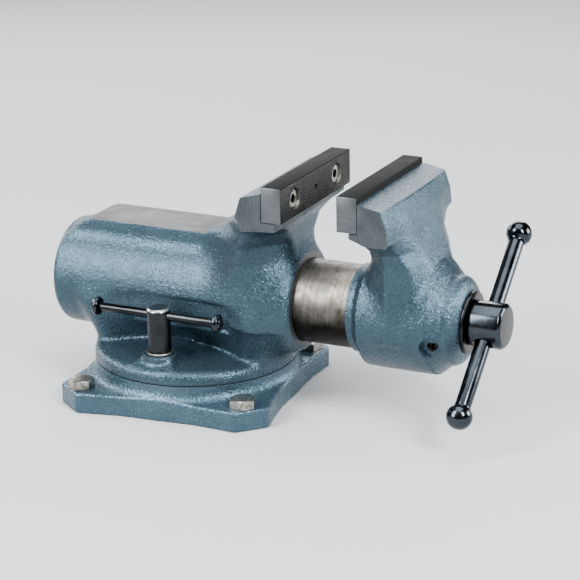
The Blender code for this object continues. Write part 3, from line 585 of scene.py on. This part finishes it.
def vise_body_field(x, y, z):
    """The swivelling body as cast: barrel, anvil, column, head, webs, flange and lock foot."""
    side = np.abs(y)
    out = np.hypot(x, y)
    radius = np.hypot(y, z - SCREW_Z)
    barrel = common(rounded_along(x, radius, BARREL), slab(x, -87.9, 86.0), 5.0)
    pad = common(polygon(x, z, ANVIL), side - 18.7, 2.5)
    post = column(x, y, z, REAR_COLUMN, 4.0) - 0.5
    block = common(polygon(x, z, REAR_BLOCK), side - ROUGH_HALF_W, 1.2)
    cone = out - np.interp(z, [28.0, 44.0, 57.6, 80.0], [64.4, 68.2, 71.6, 73.2])
    web = common(cone, 87.0 - np.hypot(x, side - 102.0), 14.0)
    web = common(web, slab(z, 26.0, 64.0), 9.0)
    shelf = z - np.interp(out, [30.0, 64.0], [34.8, 31.6])
    flange = common(out - DISC_R, shelf, 5.5)
    lock = np.hypot(x, y - LOCK_Y)
    half = np.interp(-y, [20.0, 48.8, 66.0], [8.5, 10.0, 14.0]) + (37.0 - z) * 0.8
    top = z - np.interp(-y, [30.0, 55.0, 67.0], [37.0, 35.4, 29.8])
    foot = common(common(np.abs(x) - half, top, 4.0), slab(y, -66.6, -8.0), 1.0)
    foot = union(foot, common(lock - 11.4, z - 38.2, 1.0), 2.5)
    foot = common(foot, out - 66.7, 4.0)
    body = union(barrel, pad, 5.0)
    body = union(body, post, 9.0)
    body = union(body, block, 3.0)
    body = union(body, web, 9.0)
    body = union(body, flange, 3.5)
    body = union(body, foot, 1.6)
    panel = common(np.abs(x - 6.5) - 36.0, np.abs(z - 61.0) - 9.4, 3.0)
    panel = common(panel, np.maximum(34.3 - radius, y + 10.0), 1.6)
    return np.maximum(carve(body, panel, 2.4), 22.0 - z)


def make_vise_body(step):
    """The body casting, then its anvil, jaw faces, bore and holes."""
    body = mesh_field("vise_body_casting_cast", vise_body_field,
                      (-91.0, -71.0, 21.0), (93.0, 71.0, 155.0), step)
    paint(body, ENAMEL)
    cutters = [
        paint(block("underside_cut", (-99.0, -99.0, 0.0), (99.0, 99.0, 23.8)), BORED),
        paint(block("anvil_cut", (-120.0, -40.0, 111.1), (20.5, 40.0, 140.0)), MILLED),
        paint(block("near_side_cut", (30.0, -90.0, 100.0), (100.0, -JAW_HALF_W, 170.0)), JAW_SIDE),
        paint(block("far_side_cut", (30.0, JAW_HALF_W, 100.0), (100.0, 90.0, 170.0)), JAW_SIDE),
        paint(block("ledge_cut", (84.0, -90.0, LEDGE_Z), (100.0, 90.0, 170.0)), JAW_SIDE),
        paint(block("seat_cut", (REAR_SEAT_X, -90.0, SEAT_Z), (99.0, 90.0, 169.0)), JAW_SIDE),
        paint(block("collar_cut", (82.7, -60.0, 20.0), (101.0, 60.0, 111.9)), MILLED),
        paint(bar("bore_cut", BORE_R, (-82.0, 0.0, SCREW_Z), (120.0, 0.0, SCREW_Z), 128), BORED),
        paint(bar("pivot_cut", 6.2, (0.0, 0.0, 20.0), (0.0, 0.0, 50.0)), BORED),
        paint(bar("pivot_seat_cut", 13.5, (0.0, 0.0, 31.8), (0.0, 0.0, 55.0)), BORED),
        paint(bar("lock_cut", 5.2, (0.0, LOCK_Y, 20.0), (0.0, LOCK_Y, 60.0)), BORED),
        paint(block("key_cut", (67.7, -4.3, 37.7), (80.3, 4.3, 60.0)), BORED),
        paint(bar("key_screw_cut", 2.6, (74.0, 0.0, 30.0), (74.0, 0.0, 50.0), 32), BORED),
        paint(bar("nut_screw_cut", 3.3, (-77.6, 0.0, 30.0), (-77.6, 0.0, 50.0), 32), BORED),
    ]
    machine(body, cutters + insert_screw_cuts(77.2, 65.5))
    return finished(body, "vise_body", "vise_body_casting")


# ---------------------------------------------------------------- front casting

NOSE = smooth_line([(118.0, 28.2), (124.2, 28.2), (126.4, 30.6), (129.4, 33.8), (134.0, BARREL_R),
                    (171.0, BARREL_R), (175.4, 34.3), (178.8, 31.8), (181.2, 29.5), (183.4, 28.3),
                    (185.8, 27.9), (188.0, 26.6), (190.2, 23.8), (191.7, 21.3), (194.0, 17.0)])
FRONT_COLUMN = [
    (62.0, [(131, 19), (137, 27.5), (150, 35.5), (166, 31), (178, 20)]),
    (84.0, [(131, 20), (137, 28.5), (151, 36.5), (169, 30.5), (180, 14)]),
    (98.0, [(132, 20), (138, 28.5), (151, 37), (166.5, 31.5), (175.5, 15)]),
    (110.0, [(134.5, 20), (139.5, 29), (151, 38), (163.5, 33.5), (170.5, 16)]),
    (119.0, [(136, 23), (140, 35), (151, 42), (159, 37), (166, 19)]),
    (127.5, [(138, 43), (142, 50), (152, 50.3), (157, 46), (162.5, 23)]),
    (138.0, [(141, 46), (146, 50), (150, 50.3), (156, 46), (160, 23)]),
    (148.0, [(142, 46), (146, 50), (149, 50.2), (153, 47), (155.5, 23)]),
]
FRONT_BLOCK = [(131.0, 131.0), (144.0, 127.0), (157.4, 126.7), (158.5, 128.4), (157.4, 139.0),
               (153.6, 149.8), (151.8, 154.0), (131.0, 157.0)]
HEAD_TOP_BACK = (FRONT_SEAT_X, 152.3)
HEAD_TOP_FRONT = (153.8, 149.2)


def front_jaw_field(x, y, z):
    """The sliding jaw as cast: nose, column and head."""
    side = np.abs(y)
    radius = np.hypot(y, z - SCREW_Z)
    barrel = common(rounded_along(x, radius, NOSE), slab(x, 118.5, 191.7), 1.2)
    post = column(x, y, z, FRONT_COLUMN, 1.6) - 0.4
    block = common(polygon(x, z, FRONT_BLOCK), side - ROUGH_HALF_W, 1.0)
    body = union(barrel, post, 5.0)
    body = union(body, block, 3.0)
    return body


def retaining_point(distance):
    """A point on the retaining screw's line, some mm out from the screw line."""
    return RETAINING_CENTRE + RETAINING_WAY * distance


def make_front_jaw(step):
    """The front casting, then its jaw faces, sloping top, socket and screw holes."""
    body = mesh_field("front_jaw_casting_cast", front_jaw_field,
                      (117.0, -55.0, 32.0), (195.0, 55.0, 159.0), step)
    paint(body, ENAMEL)
    back_x, back_z = HEAD_TOP_BACK
    front_x, front_z = HEAD_TOP_FRONT
    tilt = math.atan2(back_z - front_z, front_x - back_x)
    top = Matrix.Translation((back_x * MM, 0.0, back_z * MM)) @ Matrix.Rotation(tilt, 4, "Y")
    cutters = [
        paint(block("mouth_cut", (100.0, -60.0, 20.0), (120.0, 60.0, 111.5)), ENAMEL),
        paint(block("near_side_cut", (120.0, -90.0, 125.0), (170.0, -JAW_HALF_W, 170.0)), JAW_SIDE),
        paint(block("far_side_cut", (120.0, JAW_HALF_W, 126.0), (170.0, 90.0, 170.0)), JAW_SIDE),
        paint(block("top_cut", (-30.0, -80.0, 0.0), (40.0, 80.0, 30.0), top), ENAMEL),
        paint(block("ledge_cut", (110.0, -91.0, LEDGE_Z), (133.3, 91.0, 171.0)), JAW_SIDE),
        paint(block("seat_cut", (111.0, -92.0, SEAT_Z), (FRONT_SEAT_X, 92.0, 172.0)), JAW_SIDE),
        paint(bar("socket_cut", BORE_R, (90.0, 0.0, SCREW_Z), (150.3, 0.0, SCREW_Z), 128), BORED),
        paint(bar("journal_cut", 11.4, (140.0, 0.0, SCREW_Z), (200.0, 0.0, SCREW_Z)), BORED),
        paint(bar("spot_face_cut", 7.2, retaining_point(31.2), retaining_point(60.0)), ENAMEL),
        paint(bar("retaining_cut", 3.3, retaining_point(5.0), retaining_point(45.0), 32), BORED),
    ]
    machine(body, cutters + insert_screw_cuts(136.6, 148.3))
    return finished(body, "front_jaw", "front_jaw_casting")


# ---------------------------------------------------------------- base

BASE_SPOTS = ((-55.5, -60.5), (55.5, -60.5), (60.0, 52.0), (-60.0, 52.0))


def base_field(x, y, z):
    """The base as cast: a plate with bowed sides and cut corners under a round seat."""
    u = x * math.cos(BASE_TURN) + y * math.sin(BASE_TURN)
    v = y * math.cos(BASE_TURN) - x * math.sin(BASE_TURN)
    u = np.abs(u)
    v = np.abs(v)
    corner = ((u - 71.9) * 15.2 + (v - 57.8) * 17.5) / math.hypot(15.2, 17.5)
    plan = common(363.0 - np.hypot(u - 430.3, v), 321.7 - np.hypot(u, v - 390.1), 1.5)
    plan = common(plan, corner, 2.0)
    plate = common(plan, z - BOLT_SEAT_Z, 1.8)
    out = np.hypot(x, y)
    disc = common(out - DISC_R, slab(z, 2.0, 24.6), 0.8)
    return np.maximum(union(plate, disc, 7.0), -z)


def make_base(step):
    """The base casting, then its T-slot ring, seam, pivot hole and bolt seats."""
    base = mesh_field("base_casting_cast", base_field, (-82.0, -82.0, -1.2), (82.0, 82.0, 27.0), step)
    # The base takes the lighter enamel copy, which is painted bounce light.
    paint(base, BOUNCE_LIT_ENAMEL)
    slot = [(54.2, 26.0), (54.2, 17.2), (59.0, 17.2), (59.0, 7.5), (38.6, 7.5), (38.6, 17.2),
            (43.4, 17.2), (43.4, 26.0)]
    seam = [(65.9, 26.0), (69.0, 26.0), (69.0, 23.0), (65.9, 23.0)]
    cutters = [
        paint(block("top_cut", (-99.0, -99.0, BASE_TOP_Z), (99.0, 99.0, 40.0)), BORED),
        paint(turned("seam_cut", seam, Matrix.Identity(4), 160, ring=True), BORED),
        paint(turned("slot_cut", slot, Matrix.Identity(4), 128, ring=True), BORED),
        paint(bar("slot_entry_cut", 10.7, (0.0, -LOCK_Y, 8.5), (0.0, -LOCK_Y, 26.0)), BORED),
        paint(bar("pivot_cut", 6.0, (0.0, 0.0, 6.2), (0.0, 0.0, 26.0)), BORED),
    ]
    turn = Matrix.Rotation(BASE_TURN, 2)
    for spot in BASE_SPOTS:
        px, py = turn @ Vector(spot)
        cutters.append(paint(bar("bolt_cut", 5.5, (px, py, -2.0), (px, py, 20.0), 48), BORED))
        cutters.append(paint(bar("bolt_seat_cut", 9.2, (px, py, BOLT_SEAT_Z), (px, py, 30.0), 64),
                             BOUNCE_LIT_ENAMEL))
    machine(base, cutters)
    return finished(base, "base", "base_casting")


# ---------------------------------------------------------------- screw line and handle

HANDLE_TILT = math.radians(48.8)
HANDLE_WAY = Vector((0.0, math.sin(HANDLE_TILT), math.cos(HANDLE_TILT)))
HANDLE_CENTRE = Vector((204.0, 0.0, SCREW_Z)) * MM
HANDLE_SHIFT = 0.9
KNOB_DISTANCE = 65.1


def make_slide_bar():
    """The hollow bar that carries the front jaw, with its keyway."""
    line = softened([(SLIDE_BAR_R, 150.0), (SLIDE_BAR_R, -36.0), (17.5, -36.0), (17.5, 150.0)], 1.0,
                    closed=True)
    tube = paint(turned("slide_bar_tube", line, ON_SCREW, 160, ring=True), TURNED)
    machine(tube, [paint(block("keyway_cut", (-45.0, -4.4, 38.0), (119.0, 4.4, 47.2)), TURNED)])
    return finished(tube, "front_jaw", "slide_bar")


def thread(name, radius, depth, lead, start, end, where):
    """A bar with a square-shouldered thread along local Z; lengths in mm."""
    around = 40
    per_turn = 12
    rows = int((end - start) / lead * per_turn)
    profile = [0.0, 0.0, 0.0, 0.0, 0.0, 0.5, 1.0, 1.0, 1.0, 1.0, 1.0, 0.5]

    def build(shape):
        rings = []
        for row in range(rows + 1):
            ring = []
            for i in range(around):
                phase = (row - i / around * per_turn) % per_turn
                low = int(phase)
                share = phase - low
                cut = profile[low % per_turn] * (1 - share) + profile[(low + 1) % per_turn] * share
                angle = 2 * math.pi * i / around
                reach = (radius - depth * cut) * MM
                height = (start + (end - start) * row / rows) * MM
                ring.append(shape.verts.new((reach * math.cos(angle), reach * math.sin(angle), height)))
            rings.append(ring)
        for one, other in zip(rings, rings[1:]):
            for i in range(around):
                j = (i + 1) % around
                shape.faces.new((one[i], one[j], other[j], other[i]))
        shape.faces.new(rings[0])
        shape.faces.new(rings[-1])

    made = mesh_object(name, build)
    made.data.transform(where)
    return made


def merge(first, *others):
    """Put other meshes into the first object's mesh."""
    shape = bmesh.new()
    for item in (first, *others):
        shape.from_mesh(item.data)
    shape.to_mesh(first.data)
    shape.free()
    for item in others:
        bpy.data.objects.remove(item, do_unlink=True)
    return first


def make_spindle():
    """The screw, its journal and the hub that the handle passes through."""
    hub = softened([(0.0, 215.4), (12.3, 215.4), (14.35, 213.6), (14.35, 195.2), (13.5, 194.3),
                    (11.0, 194.3), (11.0, 182.0), (8.8, 182.0), (8.8, 175.2), (11.0, 175.2),
                    (11.0, 152.0), (8.6, 149.0), (0.0, 149.0)], 0.7)
    spindle = paint(turned("spindle_screw", hub, ON_SCREW, 128), POLISHED)
    reach = HANDLE_WAY * 30.0
    centre = HANDLE_CENTRE / MM
    cutters = [paint(bar("handle_cut", 5.4, centre - reach, centre + reach), POLISHED)]
    for way in (-1, 1):
        flare = turned("flare_cut", [(0.0, 12.6), (5.2, 12.6), (7.6, 16.0), (0.0, 16.0)],
                       Matrix.Translation(HANDLE_CENTRE) @ facing(HANDLE_WAY * way))
        cutters.append(paint(flare, POLISHED))
    machine(spindle, cutters)
    # The hub's end face takes the darker black oxide: painted shade, so that it doesn't show as a light disc.
    repaint(spindle, BLACK, lambda face: face.center.x > 215.2 * MM)
    screw = paint(thread("spindle_thread", 9.0, 1.9, 5.0, -44.0, 150.0, ON_SCREW), POLISHED)
    merge(spindle, screw)
    return finished(spindle, "spindle", "spindle")


def handle_place(distance, flipped=False):
    """A place on the handle's line, some mm from the rod's middle."""
    turn = facing(-HANDLE_WAY if flipped else HANDLE_WAY)
    return Matrix.Translation(HANDLE_CENTRE + HANDLE_WAY * (HANDLE_SHIFT + distance) * MM) @ turn


def make_handle():
    """The sliding rod and a knob at each end of it."""
    line = softened([(0.0, 59.0), (5.0, 59.0), (5.0, -59.0), (0.0, -59.0)], 0.5)
    rod = paint(turned("handle_bar_rod", line, handle_place(0.0), 96), POLISHED)
    finished(rod, "handle", "handle_bar")
    knob = smooth_line([(0.0, 8.15), (2.6, 7.8), (5.2, 6.4), (7.2, 3.9), (8.15, 0.6), (7.7, -2.4),
                        (6.5, -4.1), (5.75, -5.0)], 5)
    knob += [(5.6, -5.75), (0.0, -5.75)]
    for name, node, place in (("knob_upper", "handle_knob_upper", handle_place(KNOB_DISTANCE)),
                              ("knob_lower", "handle_knob_lower", handle_place(-KNOB_DISTANCE, True))):
        made = paint(turned(name, knob, place, 96), POLISHED)
        finished(made, "handle", node)


def make_thrust_washer():
    """The ring between the nose and the hub."""
    line = softened([(19.6, 194.0), (19.6, 192.0), (11.4, 192.0), (11.4, 194.0)], 0.5, closed=True)
    washer = paint(turned("thrust_washer_ring", line, ON_SCREW, 128, ring=True), BLACK)
    return finished(washer, "front_jaw", "thrust_washer")


def make_retaining_screw():
    """The side screw whose tip sits in the spindle's groove."""
    where = Matrix.Translation(RETAINING_CENTRE * MM) @ facing(RETAINING_WAY)
    line = softened([(0.0, 29.0), (3.0, 29.0), (3.0, 9.2), (0.0, 9.2)], 0.4)
    screw = paint(turned("retaining_screw", line, where, 48), BLACK)
    socket = turned("socket_cut", [(0.0, 26.0), (1.5, 26.0), (1.5, 31.0), (0.0, 31.0)], where, 6)
    machine(screw, [paint(socket, BLACK)])
    return finished(screw, "front_jaw", "spindle_retaining_screw")


# ---------------------------------------------------------------- jaw inserts

INSERT_BOTTOM_Z = 133.8
INSERT_TOP_Z = 156.0
INSERT_TALL = 22.2
INSERT_THICK = 13.3
GROOVES = 14
GROOVE_HALF_W = 0.24


def make_insert(name, node, body, face_x, into):
    """A hardened plate with fine grooves across its working face."""
    back = face_x + into * INSERT_THICK
    low = (min(face_x, back), -JAW_HALF_W, INSERT_BOTTOM_Z)
    high = (max(face_x, back), JAW_HALF_W, INSERT_TOP_Z)
    plate = paint(block(name, low, high), INSERT_END)
    bevel(plate, 0.45)
    cutters = []
    half = GROOVE_HALF_W
    on_edge = Matrix.Rotation(math.radians(45.0), 4, "Y")
    for i in range(GROOVES):
        z = INSERT_BOTTOM_Z + INSERT_TALL * (i + 1) / (GROOVES + 1)
        where = Matrix.Translation(Vector((face_x, 0.0, z)) * MM) @ on_edge
        cutters.append(paint(block("groove_cut", (-half, -60.0, -half), (half, 60.0, half), where), GROOVE))
    outside = face_x - into * 5.0
    for y in INSERT_SCREW_YS:
        cutters.append(paint(bar("counterbore_cut", 7.0, (outside, y, INSERT_Z),
                                 (face_x + into * 6.9, y, INSERT_Z)), GROOVE))
        cutters.append(paint(bar("through_cut", INSERT_HOLE_R, (outside, y, INSERT_Z),
                                 (face_x + into * 20.0, y, INSERT_Z), 32), BORED))
    cutters.append(paint(bar("centre_cut", 1.6, (outside, 0.0, INSERT_Z),
                             (face_x + into * 5.0, 0.0, INSERT_Z), 32), BORED))
    machine(plate, cutters)
    plain = plate.data.materials.find(INSERT_END.name)
    repaint(plate, GROUND, lambda face: face.material_index == plain
            and (face.normal.z > 0.7 or abs(face.normal.x) > 0.7))
    return finished(plate, body, node)


def make_insert_screw(name, node, body, face_x, into, y):
    """A socket head cap screw set in the insert's counterbore."""
    top = face_x + into * 1.6
    where = Matrix.Translation(Vector((top, y, INSERT_Z)) * MM) @ facing(Vector((-into, 0.0, 0.0)))
    line = softened([(0.0, 0.0), (5.4, 0.0), (6.4, -0.9), (6.4, -5.0), (3.9, -5.0), (3.9, -20.4),
                     (0.0, -20.4)], 0.35)
    screw = paint(turned(name, line, where, 64), ZINC)
    socket = turned("socket_cut", [(0.0, -3.0), (3.2, -2.4), (3.2, 1.0), (0.0, 1.0)], where, 6)
    machine(screw, [paint(socket, BORED)])
    return finished(screw, body, node)


# ---------------------------------------------------------------- swivel lock and hold-down bolts

def make_lock():
    """The swivel lock: its nut, washer, cross bar and two end caps."""
    stand = Matrix.Translation((0.0, LOCK_Y * MM, 0.0))
    line = softened([(0.0, 68.6), (6.2, 68.6), (7.5, 67.5), (7.5, 40.4), (7.2, 40.2), (5.2, 40.2),
                     (5.2, 57.0), (0.0, 57.0)], 0.5)
    nut = paint(turned("lock_nut_post", line, stand, 96), POST)
    machine(nut, [paint(bar("bar_cut", 3.1, (-20.0, LOCK_Y, LOCK_BAR_Z), (20.0, LOCK_Y, LOCK_BAR_Z)),
                        BLACK)])
    # The nut's top chamfer ring is painted in pale steel.
    repaint(nut, PALE_RIM, lambda face: face.center.z > 67.3 * MM and face.normal.z < 0.98)
    finished(nut, "lock_nut", "lock_nut")
    line = softened([(8.9, 39.9), (8.9, 38.5), (5.2, 38.5), (5.2, 39.9)], 0.35, closed=True)
    washer = paint(turned("lock_washer_ring", line, stand, 96, ring=True), ZINC)
    finished(washer, "vise_body", "lock_washer")
    at_bar = Matrix.Translation((-1.4 * MM, LOCK_Y * MM, LOCK_BAR_Z * MM)) @ ALONG_X
    line = softened([(0.0, 41.0), (2.8, 41.0), (2.8, -41.0), (0.0, -41.0)], 0.3)
    rod = paint(turned("lock_bar_rod", line, at_bar, 64), BLACK)
    finished(rod, "lock_bar", "lock_bar")
    cap = softened([(0.0, 46.3), (2.8, 46.2), (3.2, 45.2), (3.8, 45.1), (4.4, 45.6), (5.5, 44.8),
                    (6.1, 43.5), (6.1, 42.7), (5.4, 41.6), (4.2, 41.3), (0.0, 41.3)], 0.3)
    flip = Matrix.Rotation(math.pi, 4, "X")
    for name, node, where in (("cap_right", "lock_bar_cap_right", at_bar),
                              ("cap_left", "lock_bar_cap_left", at_bar @ flip)):
        finished(paint(turned(name, cap, where, 64), POLISHED), "lock_bar", node)


def make_hold_down_bolts():
    """Four hex bolts, each turned a little further than the last."""
    turn = Matrix.Rotation(BASE_TURN, 2)
    line = softened([(0.0, 5.8), (6.6, 5.8), (9.6, 4.3), (9.6, -1.0), (5.0, -1.0), (5.0, -12.9),
                     (0.0, -12.9)], 0.3)
    neck = [(5.0, 0.0), (12.0, 0.0), (12.0, -2.0), (5.0, -2.0)]
    for i, spot in enumerate(BASE_SPOTS):
        px, py = turn @ Vector(spot)
        seat = Matrix.Translation((px * MM, py * MM, BOLT_HEAD_Z * MM))
        where = seat @ Matrix.Rotation(0.35 * i + 0.03, 4, "Z")
        bolt = paint(turned("hex_bolt_%d" % (i + 1), line, where, 72), ZINC)
        faces = []
        for side in range(6):
            spin = where @ Matrix.Rotation(math.radians(60.0 * side), 4, "Z")
            flat = block("flat_cut_%d" % side, (7.5, -20.0, 0.0), (20.0, 20.0, 10.0), spin)
            faces.append(paint(flat, ZINC))
        faces.append(paint(turned("neck_cut", neck, where, 48, ring=True), ZINC))
        machine(bolt, faces)
        finished(bolt, "base", "hold_down_bolt_%d" % (i + 1))


def paint_hidden_nodes():
    """The hidden fasteners and the nut keep their CAD shapes."""
    for node in ("pivot_bolt", "pivot_washer", "spindle_nut", "nut_lock_screw", "slide_key",
                 "slide_key_screw", "lock_bolt"):
        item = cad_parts[node]
        item.data.materials.clear()
        item.data.materials.append(BLACK if node.endswith("screw") else TURNED)


# ---------------------------------------------------------------- stage

CAMERA_AZIMUTH = math.radians(27.07)
CAMERA_ELEVATION = math.radians(19.29)
CAMERA_ROLL = math.radians(-1.34)
CAMERA_AIM = (0.05, 0.0, 0.06)
CAMERA_DISTANCE = 1.38
CAMERA_LENS = 133.45
CAMERA_SHIFT = (0.0448, 0.029)
SKY_STRENGTH = 0.06
FLOOR_TONE = 0.4
LAMP_COLOUR = (0.95, 0.975, 1.0)
# name, place and aim in metres, (width, height) in metres, watts
LAMPS = (
    ("key", (-0.62, -0.97, 0.86), (0.0, 0.0, 0.09), (0.55, 1.1), 60.0),
    ("overhead", (0.1, 0.0, 1.5), (0.02, 0.0, 0.09), (1.4, 1.2), 34.0),
    ("back", (-0.55, 1.15, 0.6), (0.0, 0.0, 0.09), (1.3, 0.5), 16.0),
    ("left", (-1.25, 0.25, 0.6), (-0.05, 0.0, 0.09), (0.5, 0.5), 16.0),
    ("far_right", (1.15, 0.6, 0.42), (0.12, 0.0, 0.1), (0.7, 0.5), 30.0),
    ("near_right", (1.05, -0.55, 0.85), (0.12, 0.0, 0.08), (0.18, 0.6), 40.0),
)
FULL_STEP = 0.9


def make_camera():
    """A long lens from the near right, a little above the jaws."""
    azimuth = CAMERA_AZIMUTH
    height = CAMERA_ELEVATION
    roll = CAMERA_ROLL
    flat = math.cos(height)
    back = Vector((math.sin(azimuth) * flat, -math.cos(azimuth) * flat, math.sin(height)))
    right = (-back).cross(Vector((0.0, 0.0, 1.0))).normalized()
    up = right.cross(-back)
    level = right * math.cos(roll) + up * math.sin(roll)
    upright = up * math.cos(roll) - right * math.sin(roll)
    camera = bpy.data.objects.new("camera", bpy.data.cameras.new("camera"))
    bpy.context.scene.collection.objects.link(camera)
    place = Matrix((level, upright, back)).transposed().to_4x4()
    place.translation = Vector(CAMERA_AIM) + back * CAMERA_DISTANCE
    camera.matrix_world = place
    camera.data.sensor_width = 36.0
    camera.data.lens = CAMERA_LENS
    camera.data.shift_x, camera.data.shift_y = CAMERA_SHIFT
    bpy.context.scene.camera = camera


def soft_light(name, place, aim, size, power):
    """A rectangular lamp that points at its aim."""
    lamp = bpy.data.lights.new(name, "AREA")
    lamp.shape = "RECTANGLE"
    lamp.size, lamp.size_y = size
    lamp.energy = power
    lamp.color = LAMP_COLOUR
    made = bpy.data.objects.new(name, lamp)
    bpy.context.scene.collection.objects.link(made)
    made.location = place
    made.rotation_euler = (Vector(aim) - Vector(place)).to_track_quat("-Z", "Y").to_euler()


def make_stage():
    """A pale floor, a dim even sky and the lamps."""
    world = bpy.data.worlds.new("studio")
    bpy.context.scene.world = world
    world.use_nodes = True
    sky = world.node_tree.nodes["Background"]
    sky.inputs["Color"].default_value = (1.0, 1.0, 1.0, 1.0)
    sky.inputs["Strength"].default_value = SKY_STRENGTH
    floor = block("studio_floor", (-9000.0, -9000.0, -30.0), (9000.0, 9000.0, -0.4))
    pale, _, shader = start_material("pale_floor", 0.0)
    shader.inputs["Base Color"].default_value = (*grey(FLOOR_TONE), 1.0)
    shader.inputs["Roughness"].default_value = 0.9
    paint(floor, pale)
    for lamp in LAMPS:
        soft_light(*lamp)


def main():
    step = FULL_STEP
    make_stage()
    make_camera()
    make_base(step)
    make_vise_body(step)
    make_front_jaw(step)
    make_slide_bar()
    make_spindle()
    make_handle()
    make_thrust_washer()
    make_retaining_screw()
    make_insert("rear_insert_plate", "rear_jaw_insert", "vise_body", REAR_FACE_X, -1)
    make_insert("front_insert_plate", "front_jaw_insert", "front_jaw", FRONT_FACE_X, 1)
    for i, y in enumerate(INSERT_SCREW_YS, 1):
        make_insert_screw("rear_cap_screw_%d" % i, "rear_insert_screw_%d" % i, "vise_body",
                          REAR_FACE_X, -1, y)
        make_insert_screw("front_cap_screw_%d" % i, "front_insert_screw_%d" % i, "front_jaw",
                          FRONT_FACE_X, 1, y)
    make_lock()
    make_hold_down_bolts()
    paint_hidden_nodes()


main()
